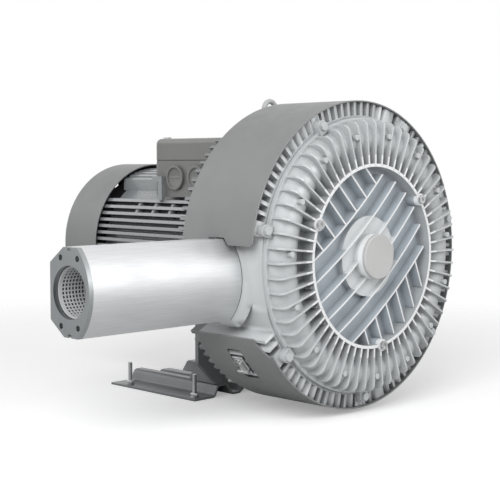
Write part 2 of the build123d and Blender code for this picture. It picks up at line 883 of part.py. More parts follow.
# Motor frame with parallel fins and the pad of the terminal box
with BuildPart() as motor_frame:
    with BuildSketch(facing_front(fin_back)):
        with GridLocations(0, frame_fin_pitch, 1, side_fin_count):
            Rectangle(2 * frame_radius, frame_fin_thickness)
        with GridLocations(frame_fin_pitch, 0, end_fin_count, 1):
            Rectangle(frame_fin_thickness, 2 * frame_radius)
        Circle(frame_radius, mode=Mode.INTERSECT)
        Circle(frame_core_radius)
    extrude(amount=fin_back - fin_front)
    with BuildSketch(facing_front(fin_back)):
        Circle(frame_core_radius + seat_gap)
        with spots((frame_core_radius + cowl_bore) / 2, cowl_lug_angle, cowl_lug_count):
            Rectangle(cowl_bore - frame_core_radius + shield_wall, 2 * (shield_wall + seat_gap))
    extrude(amount=fin_back - frame_back, mode=Mode.SUBTRACT)
    with BuildSketch(facing_front(fin_front)):
        Circle(frame_radius)
    extrude(amount=plain_ring)
    with BuildSketch(facing_front(pedestal_front + pedestal_length)):
        with Locations((0, pedestal_top / 2)):
            Rectangle(2 * pedestal_half_width, pedestal_top)
    extrude(amount=pedestal_length)
    with BuildSketch(facing_front(frame_back)):
        Circle(frame_bore_radius)
    extrude(amount=frame_back - frame_front, mode=Mode.SUBTRACT)
motor_frame.part.label = "motor_frame"
export_step(motor_frame.part, "parts/motor_frame.step")

# Rear end shield with lugs for the cowl
with BuildPart() as rear_end_shield:
    with BuildSketch(section):
        band(frame_back, frame_back + shield_web, fan_seat_radius + 3, frame_core_radius)
        band(frame_back, rear_bearing_back + 3, fan_seat_radius + 3, rear_bearing_outer + bearing_hub_wall)
        band(frame_back - spigot_length, frame_back, spigot_bore, frame_bore_radius - bore_gap)
        band(frame_back - 1, rear_bearing_back + 1, 0, rear_bearing_outer, Mode.SUBTRACT)
    revolve(axis=shaft_axis)
    with BuildSketch(facing_front(cowl_depth + 2 * shield_web)):
        with spots((frame_core_radius + cowl_bore) / 2, cowl_lug_angle, cowl_lug_count):
            Rectangle(cowl_bore - frame_core_radius + shield_wall, 2 * shield_wall)
        Circle(cowl_bore - seat_gap, mode=Mode.INTERSECT)
    extrude(amount=cowl_depth + 2 * shield_web - frame_back)
    for angle in cowl_screw_angles:
        with BuildSketch(outward(angle, cowl_depth + shield_web, cowl_bore)):
            Circle(m6_radius + hole_gap)
        extrude(amount=-screw_reach, mode=Mode.SUBTRACT)
rear_end_shield.part.label = "rear_end_shield"
export_step(rear_end_shield.part, "parts/rear_end_shield.step")

# Stator core with open slots and its two winding heads
with BuildPart() as stator_core:
    with BuildSketch(facing_front(stator_back)):
        Circle(frame_bore_radius - bore_gap)
        Circle(stator_bore, mode=Mode.SUBTRACT)
        with spots(stator_bore + slot_depth / 2 - 1, 0, stator_slots):
            Rectangle(slot_depth + 2, slot_width, mode=Mode.SUBTRACT)
    extrude(amount=stator_length)
stator_core.part.label = "stator_core"
export_step(stator_core.part, "parts/stator_core.step")

with BuildPart() as stator_windings:
    with BuildSketch(section):
        band(stator_front - winding_length, stator_front, winding_inner, winding_outer)
        band(stator_back, stator_back + winding_length, winding_inner, winding_outer)
    revolve(axis=shaft_axis)
    fillet(stator_windings.edges().group_by(Axis.Y)[0], radius=winding_length / 4)
    fillet(stator_windings.edges().group_by(Axis.Y)[-1], radius=winding_length / 4)
stator_windings.part.label = "stator_windings"
export_step(stator_windings.part, "parts/stator_windings.step")

# Rotor core with its short-circuit rings
with BuildPart() as rotor_core:
    with BuildSketch(section):
        band(stator_front, stator_back, core_seat_radius, stator_bore - air_gap)
        band(stator_front - end_ring_width, stator_back + end_ring_width, end_ring_inner, stator_bore - 2)
    revolve(axis=shaft_axis)
rotor_core.part.label = "rotor_core"
export_step(rotor_core.part, "parts/rotor_core.step")

# Radial cooling fan and its retaining ring
with BuildPart() as cooling_fan:
    with BuildSketch(section):
        band(fan_depth, fan_back, fan_seat_radius + bore_gap, fan_hub_radius)
        band(fan_depth, fan_depth + fan_disc_thickness, fan_hub_radius - 1, fan_radius)
    revolve(axis=shaft_axis)
    with BuildSketch(facing_front(fan_back)):
        with spots((fan_hub_radius + fan_radius) / 2, 0, fan_blade_count):
            Rectangle(fan_radius - fan_hub_radius + 1, fan_blade_thickness)
    extrude(amount=fan_length)
    with BuildSketch(facing_front(fan_back)):
        with Locations((0, fan_seat_radius)):
            Rectangle(fan_key_width + bore_gap, fan_key_width + 2 * bore_gap)
    extrude(amount=fan_length, mode=Mode.SUBTRACT)
cooling_fan.part.label = "cooling_fan"
export_step(cooling_fan.part, "parts/cooling_fan.step")

with BuildPart() as fan_circlip:
    with BuildSketch(facing_front(ring_middle + m6_washer_thickness)):
        Circle(fan_seat_radius + 2)
        Circle(fan_seat_radius - 1 + bore_gap, mode=Mode.SUBTRACT)
        with Locations((0, fan_seat_radius)):
            Rectangle(fan_key_width, fan_key_width, mode=Mode.SUBTRACT)
    extrude(amount=m6_washer_thickness)
fan_circlip.part.label = "fan_circlip"
export_step(fan_circlip.part, "parts/fan_circlip.step")

# Fan cowl with its slotted grille
with BuildPart() as fan_cowl:
    with BuildSketch(section):
        band(cowl_depth, cowl_back, 0, cowl_radius)
    revolve(axis=shaft_axis)
    fillet(fan_cowl.edges().group_by(Axis.Y)[-1], radius=cowl_corner)
    offset(openings=fan_cowl.faces().sort_by(Axis.Y)[0], amount=-cowl_sheet)
    with BuildSketch(facing_front(cowl_back)):
        for index in range(grille_rings):
            with spots(grille_first_radius + index * grille_ring_pitch, 0, grille_slots):
                Rectangle(grille_slot_length, grille_slot_width)
    extrude(amount=cowl_corner, mode=Mode.SUBTRACT)
    for angle in cowl_screw_angles:
        with BuildSketch(outward(angle, cowl_depth + shield_web, cowl_bore - 1)):
            Circle(m6_radius + hole_gap)
        extrude(amount=2 * cowl_sheet, mode=Mode.SUBTRACT)
fan_cowl.part.label = "fan_cowl"
export_step(fan_cowl.part, "parts/fan_cowl.step")

with BuildPart() as cowl_screws:
    for angle in cowl_screw_angles:
        with BuildSketch(outward(angle, cowl_depth + shield_web, cowl_radius)):
            Circle(m6_head_radius)
        extrude(amount=m6_head_height)
        with BuildSketch(outward(angle, cowl_depth + shield_web, cowl_radius)):
            Circle(m6_radius)
        extrude(amount=-screw_reach)
cowl_screws.part.label = "cowl_screws"
export_step(cowl_screws.part, "parts/cowl_screws.step")

# Terminal box with saddle, gasket and rounded lid
def level(height):
    """Horizontal plane at a height above the shaft, centred on the terminal box."""
    return level_at(height, (box_front + box_back) / 2)


def side_face(depth):
    """Plane on the side of the terminal box, centred on a cable entry."""
    place = (-box_half_width, rim_y + depth, axis_height + entry_height)
    return Plane(origin=place, x_dir=(0, -1, 0), z_dir=(-1, 0, 0))


lid_top = box_top + gasket_thickness + lid_height
box_room = (2 * (box_half_width - box_wall), box_length - 2 * box_wall)
lid_screw_grid = GridLocations(2 * (box_half_width - lid_screw_inset), box_length - 2 * lid_screw_inset, 2, 2)
with BuildPart() as terminal_box:
    with BuildSketch(level(box_bottom)):
        RectangleRounded(2 * box_half_width, box_length, box_corner)
    extrude(amount=box_top - box_bottom)
    with BuildSketch(level(box_top)):
        RectangleRounded(*box_room, box_corner - box_wall)
    extrude(amount=pedestal_top + box_wall - box_top, mode=Mode.SUBTRACT)
    with BuildSketch(facing_front(box_back + 1)):
        Circle(frame_radius + seat_gap)
    extrude(amount=box_length + 2, mode=Mode.SUBTRACT)
    with BuildSketch(facing_front(frame_front)):
        Circle(adapter_radius + seat_gap)
    extrude(amount=frame_front - box_front + 1, mode=Mode.SUBTRACT)
    with BuildSketch(level_at(pedestal_top, pedestal_front + pedestal_length / 2)):
        Rectangle(2 * (pedestal_half_width + seat_gap), pedestal_length + 2 * seat_gap)
    extrude(amount=-frame_radius, mode=Mode.SUBTRACT)
    with BuildSketch(level(pedestal_top + box_wall)):
        with lid_screw_grid:
            Circle(lid_post_radius)
    extrude(amount=lid_top - pedestal_top - 2 * box_wall)
    with BuildSketch(level(lid_top)):
        with lid_screw_grid:
            Circle(m6_radius + hole_gap)
    extrude(amount=-lid_screw_reach, mode=Mode.SUBTRACT)
    for depth in (entry_depth_first, entry_depth_second):
        with BuildSketch(side_face(depth)):
            Circle(entry_radius - box_wall / 2)
        extrude(amount=-box_wall / 2, mode=Mode.SUBTRACT)
terminal_box.part.label = "terminal_box"
export_step(terminal_box.part, "parts/terminal_box.step")

with BuildPart() as lid_gasket:
    with BuildSketch(level(box_top)):
        RectangleRounded(2 * box_half_width - 1, box_length - 1, box_corner)
        RectangleRounded(*box_room, box_corner - box_wall, mode=Mode.SUBTRACT)
    extrude(amount=gasket_thickness)
lid_gasket.part.label = "lid_gasket"
export_step(lid_gasket.part, "parts/lid_gasket.step")

with BuildPart() as terminal_lid:
    with BuildSketch(level(box_top + gasket_thickness)):
        RectangleRounded(2 * box_half_width, box_length, box_corner)
    extrude(amount=lid_height)
    fillet(terminal_lid.edges().group_by(Axis.Z)[-1], radius=box_corner - 2)
    offset(openings=terminal_lid.faces().sort_by(Axis.Z)[0], amount=-box_wall)
    with BuildSketch(level(lid_top)):
        with lid_screw_grid:
            Circle(m6_radius + hole_gap)
    extrude(amount=-box_wall, mode=Mode.SUBTRACT)
terminal_lid.part.label = "terminal_lid"
export_step(terminal_lid.part, "parts/terminal_lid.step")

with BuildPart() as lid_screws:
    with BuildSketch(level(lid_top)):
        with lid_screw_grid:
            Circle(m6_head_radius)
    extrude(amount=m6_head_height / 2)
    with BuildSketch(level(lid_top)):
        with lid_screw_grid:
            Circle(m6_radius)
    extrude(amount=-lid_screw_reach)
lid_screws.part.label = "lid_screws"
export_step(lid_screws.part, "parts/lid_screws.step")

# Terminal board with six studs
with BuildPart() as terminal_board:
    with BuildSketch(level(pedestal_top + box_wall)):
        Rectangle(box_half_width, pedestal_half_width)
    extrude(amount=box_wall)
    with BuildSketch(level(pedestal_top + 2 * box_wall)):
        with GridLocations(5 * box_wall, 6 * box_wall, 3, 2):
            Circle(m6_radius)
    extrude(amount=2 * box_wall)
terminal_board.part.label = "terminal_board"
export_step(terminal_board.part, "parts/terminal_board.step")

# Blanking plugs in the two cable entries
with BuildPart() as entry_plugs:
    for depth in (entry_depth_first, entry_depth_second):
        with BuildSketch(side_face(depth)):
            Circle(entry_radius)
        extrude(amount=box_wall / 2)
        with BuildSketch(side_face(depth)):
            Circle(entry_radius - box_wall / 2 - bore_gap)
        extrude(amount=-box_wall / 2)
entry_plugs.part.label = "entry_plugs"
export_step(entry_plugs.part, "parts/entry_plugs.step")

# Earthing lug beside the terminal box, standing on the motor frame
lug_corner = (-box_half_width - lug_thickness, rim_y + lug_depth, axis_height + box_bottom)
with BuildPart() as earth_lug:
    with BuildSketch(Plane(origin=lug_corner, x_dir=(0, 1, 0), z_dir=(1, 0, 0))):
        with Locations((lug_thickness / 2, lug_height / 2)):
            Rectangle(lug_thickness, lug_height)
        with Locations((lug_length / 2, lug_height - lug_thickness / 2)):
            Rectangle(lug_length, lug_thickness)
    extrude(amount=lug_thickness)
    with BuildSketch(facing_front(lug_depth + lug_length)):
        Circle(frame_radius + seat_gap)
    extrude(amount=2 * lug_length, mode=Mode.SUBTRACT)
earth_lug.part.label = "earth_lug"
export_step(earth_lug.part, "parts/earth_lug.step")

# Sheet shroud in two pieces around the casing fins
def corners(sheet, place, count):
    """Corners of a sheet nearest to a place."""
    short_edges = sheet.edges().filter_by(lambda edge: edge.length < 1.5 * shroud_sheet)
    return short_edges.sort_by_distance(place)[:count]


def rolled_sheet(start, end):
    """Rolled sheet from one angle down to the other, clockwise as seen from the front."""
    with BuildPart() as sheet:
        with BuildSketch(section_at(start)):
            band(0, shroud_depth, shroud_bore, shroud_radius)
        revolve(axis=shaft_axis, revolution_arc=start - end)
        for angle in shroud_screw_angles:
            with BuildSketch(outward(angle, shroud_screw_depth, shroud_bore - 1)):
                Circle(m6_radius + hole_gap)
            extrude(amount=2 * shroud_sheet, mode=Mode.SUBTRACT)
    return sheet.part


with BuildPart() as upper_shroud:
    add(rolled_sheet(upper_shroud_start, shroud_split))
    with BuildSketch(inlet_base.offset(-neck_length)):
        add(offset(silencer_outline.sketch, amount=shroud_sheet, kind=Kind.ARC, mode=Mode.PRIVATE))
    extrude(amount=4 * neck_length, mode=Mode.SUBTRACT)
    fillet(
        corners(upper_shroud, outward(upper_shroud_start, 0, shroud_radius).origin, 1), radius=sheet_corner
    )
upper_shroud.part.label = "upper_shroud"
export_step(upper_shroud.part, "parts/upper_shroud.step")

with BuildPart() as lower_shroud:
    add(rolled_sheet(shroud_split + 360 - split_gap, lower_shroud_start))
    with BuildSketch(section_at(window_end)):
        band(window_front, window_back, shroud_bore - 1, shroud_radius + 1)
    revolve(axis=shaft_axis, revolution_arc=window_end - window_start, mode=Mode.SUBTRACT)
    window_middle = outward((window_start + window_end) / 2, (window_front + window_back) / 2, shroud_radius)
    fillet(corners(lower_shroud, window_middle.origin, 4), radius=sheet_corner)
    with BuildSketch(outward(lower_shroud_start, 0, shroud_bore - corner_cut_depth / 2)):
        with BuildLine():
            FilletPolyline(
                (-1, -corner_cut_depth),
                (corner_cut_depth, -corner_cut_depth),
                (corner_cut_depth, sheet_corner),
                (-1, corner_cut_length),
                radius=sheet_corner,
                close=True,
            )
        make_face()
    extrude(amount=corner_cut_depth, mode=Mode.SUBTRACT)
lower_shroud.part.label = "lower_shroud"
export_step(lower_shroud.part, "parts/lower_shroud.step")

# Screws of the shroud
with BuildPart() as shroud_screws:
    for angle in shroud_screw_angles:
        with BuildSketch(outward(angle, shroud_screw_depth, shroud_radius + seat_gap)):
            Circle(m6_head_radius)
        extrude(amount=m6_head_height / 2)
        with BuildSketch(outward(angle, shroud_screw_depth, shroud_radius + seat_gap)):
            Circle(m6_radius)
        extrude(amount=-screw_reach)
shroud_screws.part.label = "shroud_screws"
export_step(shroud_screws.part, "parts/shroud_screws.step")

# Lifting eyebolt on the boss behind the casing
eye_centre = (0, rim_y + eye_depth, axis_height + eye_height)
with BuildPart() as eyebolt:
    with BuildSketch(Plane(origin=eye_centre)):
        with Locations((eye_radius, 0)):
            Circle(eye_wire)
    revolve(axis=Axis(eye_centre, (0, 1, 0)))
    with BuildSketch(level_at(eye_seat, eye_depth)):
        Circle(eye_collar_radius)
    extrude(amount=2 * m6_washer_thickness)
    with BuildSketch(level_at(eye_seat, eye_depth)):
        Circle(m6_radius)
    extrude(amount=-eye_stem)
eyebolt.part.label = "eyebolt"
export_step(eyebolt.part, "parts/eyebolt.step")

# Silencers: extruded body, end plate with the port, perforated liner, lining and two bolts
channel_hole_width = 2 * (silencer_channel_half + seat_gap)
for side, base in (("inlet", inlet_base), ("outlet", outlet_base)):
    with BuildPart() as silencer_body:
        with BuildSketch(base):
            add(silencer_outline.sketch)
            offset(silencer_outline.sketch, amount=-silencer_wall, mode=Mode.SUBTRACT)
            with GridLocations(0, 2 * (silencer_half_height - silencer_channel_depth / 2), 1, 2):
                Rectangle(2 * silencer_channel_half, silencer_channel_depth)
            with GridLocations(0, 2 * (silencer_half_height - silencer_groove_depth / 2), 1, 2):
                Rectangle(silencer_groove_width, silencer_groove_depth, mode=Mode.SUBTRACT)
        extrude(amount=silencer_length - end_plate_thickness)
        with BuildSketch(base.offset(silencer_pocket_start)):
            with GridLocations(0, 2 * silencer_half_height, 1, 2):
                Rectangle(2 * m6_head_radius, 2 * silencer_pocket_depth)
        extrude(amount=silencer_pocket_length, mode=Mode.SUBTRACT)
        with BuildSketch(base):
            with GridLocations(0, 2 * silencer_bolt_offset, 1, 2):
                Circle(m6_radius + hole_gap)
        extrude(amount=silencer_pocket_start, mode=Mode.SUBTRACT)
    silencer_body.part.label = f"{side}_silencer_body"
    export_step(silencer_body.part, f"parts/{side}_silencer_body.step")

    plate_base = base.offset(silencer_length - end_plate_thickness)
    with BuildPart() as end_plate:
        with BuildSketch(plate_base):
            add(silencer_outline.sketch)
            with GridLocations(0, 2 * (silencer_half_height - silencer_groove_depth / 2), 1, 2):
                Rectangle(silencer_groove_width, silencer_groove_depth, mode=Mode.SUBTRACT)
            Circle(port_radius, mode=Mode.SUBTRACT)
        extrude(amount=end_plate_thickness)
        with BuildSketch(plate_base.offset(end_plate_thickness)):
            with GridLocations(2 * port_hole_x, 2 * port_hole_z, 2, 2):
                Circle(port_hole_radius)
        extrude(amount=-port_hole_depth, mode=Mode.SUBTRACT)
    end_plate.part.label = f"{side}_end_plate"
    export_step(end_plate.part, f"parts/{side}_end_plate.step")

    with BuildPart() as liner:
        with BuildSketch(base):
            Circle(liner_radius)
            Circle(liner_radius - liner_sheet, mode=Mode.SUBTRACT)
        extrude(amount=silencer_length - end_plate_thickness)
    liner.part.label = f"{side}_liner"
    export_step(liner.part, f"parts/{side}_liner.step")

    with BuildPart() as lining:
        with BuildSketch(base):
            offset(silencer_outline.sketch, amount=-silencer_wall - seat_gap)
            Circle(liner_radius + seat_gap, mode=Mode.SUBTRACT)
            with GridLocations(0, 2 * (silencer_half_height - silencer_channel_depth / 2), 1, 2):
                Rectangle(channel_hole_width, silencer_channel_depth + 2 * seat_gap, mode=Mode.SUBTRACT)
        extrude(amount=silencer_length - end_plate_thickness - seat_gap)
    lining.part.label = f"{side}_lining"
    export_step(lining.part, f"parts/{side}_lining.step")

    with BuildPart() as silencer_bolts:
        with BuildSketch(base.offset(silencer_pocket_start)):
            with GridLocations(0, 2 * silencer_bolt_offset, 1, 2):
                Circle(m6_head_radius - hole_gap)
        extrude(amount=m6_head_height)
        with BuildSketch(base.offset(silencer_pocket_start)):
            with GridLocations(0, 2 * silencer_bolt_offset, 1, 2):
                Circle(m6_radius)
        extrude(amount=-silencer_pocket_start - silencer_bolt_reach)
    silencer_bolts.part.label = f"{side}_silencer_bolts"
    export_step(silencer_bolts.part, f"parts/{side}_silencer_bolts.step")

# Foot plate: one sheet bent into two outer flanges, two crests and a middle rise
plate_middle = plate_sheet / 2
crest_middle = crest_height + plate_middle
side_bends = (
    (plate_half_width, plate_middle),
    (flange_inner, plate_middle),
    (crest_outer, crest_middle),
    (crest_inner, crest_middle),
    (valley_outer, plate_middle),
    (valley_inner, plate_middle),
    (middle_half_width, middle_height + plate_middle),
)
plate_line = [(-x, z) for x, z in side_bends] + [(x, z) for x, z in reversed(side_bends)]
foot_places = GridLocations(foot_spacing_x, foot_spacing_y, 2, 2)
foot_middle = support_depth + support_foot_length / 2
support_bolt_plane = Plane(origin=(0, rim_y + foot_middle, 0))
support_bolt_grid = GridLocations(crest_outer + crest_inner, support_foot_length / 2, 2, 2)
with BuildPart() as foot_plate:
    with BuildSketch(Plane(origin=(0, -plate_overhang, 0), x_dir=(1, 0, 0), z_dir=(0, -1, 0))):
        with BuildLine():
            FilletPolyline(*plate_line, radius=plate_bend)
        trace(line_width=plate_sheet)
    extrude(amount=-plate_length)
    with BuildSketch():
        with foot_places:
            Circle(m6_radius + hole_gap)
    extrude(amount=plate_sheet, mode=Mode.SUBTRACT)
    with BuildSketch(support_bolt_plane):
        with support_bolt_grid:
            Circle(m6_radius + hole_gap)
    extrude(amount=crest_top, mode=Mode.SUBTRACT)
foot_plate.part.label = "foot_plate"
export_step(foot_plate.part, "parts/foot_plate.step")

# Collared studs pressed into the outer flanges
with BuildPart() as foot_studs:
    with BuildSketch():
        with foot_places:
            Circle(m6_radius + hole_gap - bore_gap)
    extrude(amount=plate_sheet)
    with BuildSketch(Plane.XY.offset(plate_sheet)):
        with foot_places:
            Circle(m6_washer_radius)
    extrude(amount=m6_washer_thickness)
    with BuildSketch(Plane.XY.offset(plate_sheet + m6_washer_thickness)):
        with foot_places:
            Circle(m6_radius)
    extrude(amount=stud_height - plate_sheet - m6_washer_thickness)
foot_studs.part.label = "foot_studs"
export_step(foot_studs.part, "parts/foot_studs.step")

# Support between the foot plate and the motor: strap under the frame, web, two feet and gussets
strap_bore = frame_radius + seat_gap
strap_radius = strap_bore + strap_sheet
strap_front = frame_front + 1
drop_to_crest = axis_height - crest_top
foot_inner = (crest_outer + crest_inner - support_foot_width) / 2
foot_outer = foot_inner + support_foot_width
web_back = rim_y + support_depth + support_sheet
foot_top = crest_top + support_sheet
with BuildPart() as front_support:
    with BuildSketch(section_at(270 + strap_half_angle)):
        band(strap_front, strap_front + strap_width, strap_bore, strap_radius)
    revolve(axis=shaft_axis, revolution_arc=2 * strap_half_angle)
    with BuildSketch(facing_front(support_depth + support_sheet)):
        with BuildLine():
            Polyline(
                (-support_half_width, -frame_radius / 2),
                (-support_half_width, -support_shoulder_drop),
                (-foot_outer, -drop_to_crest),
                (-foot_inner, -drop_to_crest),
                (-foot_inner + support_foot_width / 2, -support_arch_drop),
                (foot_inner - support_foot_width / 2, -support_arch_drop),
                (foot_inner, -drop_to_crest),
                (foot_outer, -drop_to_crest),
                (support_half_width, -support_shoulder_drop),
                (support_half_width, -frame_radius / 2),
                close=True,
            )
        make_face()
        Circle(strap_radius - 1, mode=Mode.SUBTRACT)
    extrude(amount=support_sheet)
    with BuildSketch(support_bolt_plane.offset(crest_top)):
        with GridLocations(crest_outer + crest_inner, 0, 2, 1):
            Rectangle(support_foot_width, support_foot_length)
    extrude(amount=support_sheet)
    for side in (-1, 1):
        gusset_place = side * (foot_outer - gusset_sheet / 2)
        with BuildSketch(Plane(origin=(gusset_place, web_back, foot_top), x_dir=(0, 1, 0), z_dir=(1, 0, 0))):
            with BuildLine():
                Polyline((0, 0), (support_foot_length - support_sheet, 0), (0, gusset_height), close=True)
            make_face()
        extrude(amount=gusset_sheet / 2, both=True)
    with BuildSketch(support_bolt_plane):
        with support_bolt_grid:
            Circle(m6_radius + hole_gap)
    extrude(amount=foot_top, mode=Mode.SUBTRACT)
front_support.part.label = "front_support"
export_step(front_support.part, "parts/front_support.step")

# Bolts of the support, from below, with their nuts
with BuildPart() as support_bolts:
    with BuildSketch(support_bolt_plane.offset(crest_height - m6_head_height)):
        with support_bolt_grid:
            RegularPolygon(m6_head_radius, 6)
    extrude(amount=m6_head_height)
    with BuildSketch(support_bolt_plane.offset(crest_height)):
        with support_bolt_grid:
            Circle(m6_radius)
    extrude(amount=plate_sheet + support_sheet + m6_nut_height + 1)
support_bolts.part.label = "support_bolts"
export_step(support_bolts.part, "parts/support_bolts.step")

with BuildPart() as support_nuts:
    with BuildSketch(support_bolt_plane.offset(crest_top + support_sheet)):
        with support_bolt_grid:
            RegularPolygon(m6_head_radius, 6)
            Circle(m6_radius + bore_gap, mode=Mode.SUBTRACT)
    extrude(amount=m6_nut_height)
support_nuts.part.label = "support_nuts"
export_step(support_nuts.part, "parts/support_nuts.step")

# Bolts of the drive-end shield
with BuildPart() as shield_bolts:
    with BuildSketch(facing_front(adapter_depth + shield_web)):
        with spots(shield_bolt_circle, shield_bolt_angle, shield_bolt_count):
            RegularPolygon(m6_head_radius, 6)
    extrude(amount=-m6_head_height)
    with BuildSketch(facing_front(adapter_depth + shield_web)):
        with spots(shield_bolt_circle, shield_bolt_angle, shield_bolt_count):
            Circle(m6_radius)
    extrude(amount=shield_bolt_length)
shield_bolts.part.label = "shield_bolts"
export_step(shield_bolts.part, "parts/shield_bolts.step")
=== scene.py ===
"""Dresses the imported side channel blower: cast head, sheet shroud, motor, silencers and foot plate.

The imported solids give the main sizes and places. This file gives each of them its finish, adds
small pieces that are too fine for the solids, puts finer copies in the place of the casing and of
the two silencer liners, and sets the studio: floor, world, lamps and camera.
"""
from __future__ import annotations

import json
import logging
from dataclasses import dataclass, field
from enum import Enum
from math import atan2, degrees, hypot, pi, radians, tau

import bmesh
import bpy
from mathutils import Matrix, Vector

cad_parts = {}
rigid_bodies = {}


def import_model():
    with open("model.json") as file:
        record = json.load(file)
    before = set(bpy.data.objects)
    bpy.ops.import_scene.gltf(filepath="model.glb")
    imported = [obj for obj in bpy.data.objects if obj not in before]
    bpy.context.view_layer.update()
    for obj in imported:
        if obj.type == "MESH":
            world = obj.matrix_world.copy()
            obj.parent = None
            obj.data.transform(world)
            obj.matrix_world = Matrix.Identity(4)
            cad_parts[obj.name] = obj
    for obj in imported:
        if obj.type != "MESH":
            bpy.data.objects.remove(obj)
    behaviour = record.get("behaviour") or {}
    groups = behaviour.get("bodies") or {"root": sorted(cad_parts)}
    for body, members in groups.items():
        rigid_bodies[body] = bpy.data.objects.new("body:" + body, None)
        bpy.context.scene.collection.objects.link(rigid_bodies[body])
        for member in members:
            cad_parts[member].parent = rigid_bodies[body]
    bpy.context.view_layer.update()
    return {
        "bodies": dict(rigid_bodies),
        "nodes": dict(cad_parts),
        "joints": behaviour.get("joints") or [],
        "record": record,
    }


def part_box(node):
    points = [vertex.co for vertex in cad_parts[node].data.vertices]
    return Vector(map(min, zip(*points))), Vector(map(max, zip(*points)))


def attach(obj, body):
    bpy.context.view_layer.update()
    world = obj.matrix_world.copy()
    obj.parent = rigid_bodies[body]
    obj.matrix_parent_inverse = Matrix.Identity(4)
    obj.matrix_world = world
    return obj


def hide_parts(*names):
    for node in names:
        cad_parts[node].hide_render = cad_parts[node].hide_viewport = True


LOG = logging.getLogger("blower")
# In metres: shaft above the floor, front edge of the shroud, reach of welds, play of place tests
SHAFT_HEIGHT = 0.206
SHROUD_FRONT = -0.287
WELD = 1e-6
SLACK = 0.0005

Tone = tuple[float, float, float]


class Body(Enum):
    """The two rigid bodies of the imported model."""

    STATOR = "stator"
    ROTOR = "rotor"


class Along(Enum):
    """Direction of the drawing lines on a brushed or extruded surface."""

    X = (0.02, 1.0, 1.0)
    Y = (1.0, 0.02, 1.0)
    Z = (1.0, 1.0, 0.02)


def around_shaft(angle: float, y: float, radius: float) -> Matrix:
    """Place on a circle around the shaft whose Z axis points away from the shaft.

    Args:
        angle: Angle in degrees from +X towards +Z, as seen from the front.
        y: Place along the shaft.
        radius: Distance from the shaft axis.

    Returns:
        The placing matrix.
    """
    turn = Matrix.Rotation(radians(90.0 - angle), 4, "Y")
    return Matrix.Translation((0.0, y, SHAFT_HEIGHT)) @ turn @ Matrix.Translation((0.0, 0.0, radius))


def shades(tone: Tone, spread: float) -> tuple[Tone, Tone]:
    """A darker and a lighter neighbour of a tone.

    Args:
        tone: The tone in the middle.
        spread: Share by which both differ from it.

    Returns:
        The darker and the lighter tone.
    """
    dark = tuple(channel * (1 - spread) for channel in tone)
    light = tuple(min(1.0, channel * (1 + spread)) for channel in tone)
    return dark, light


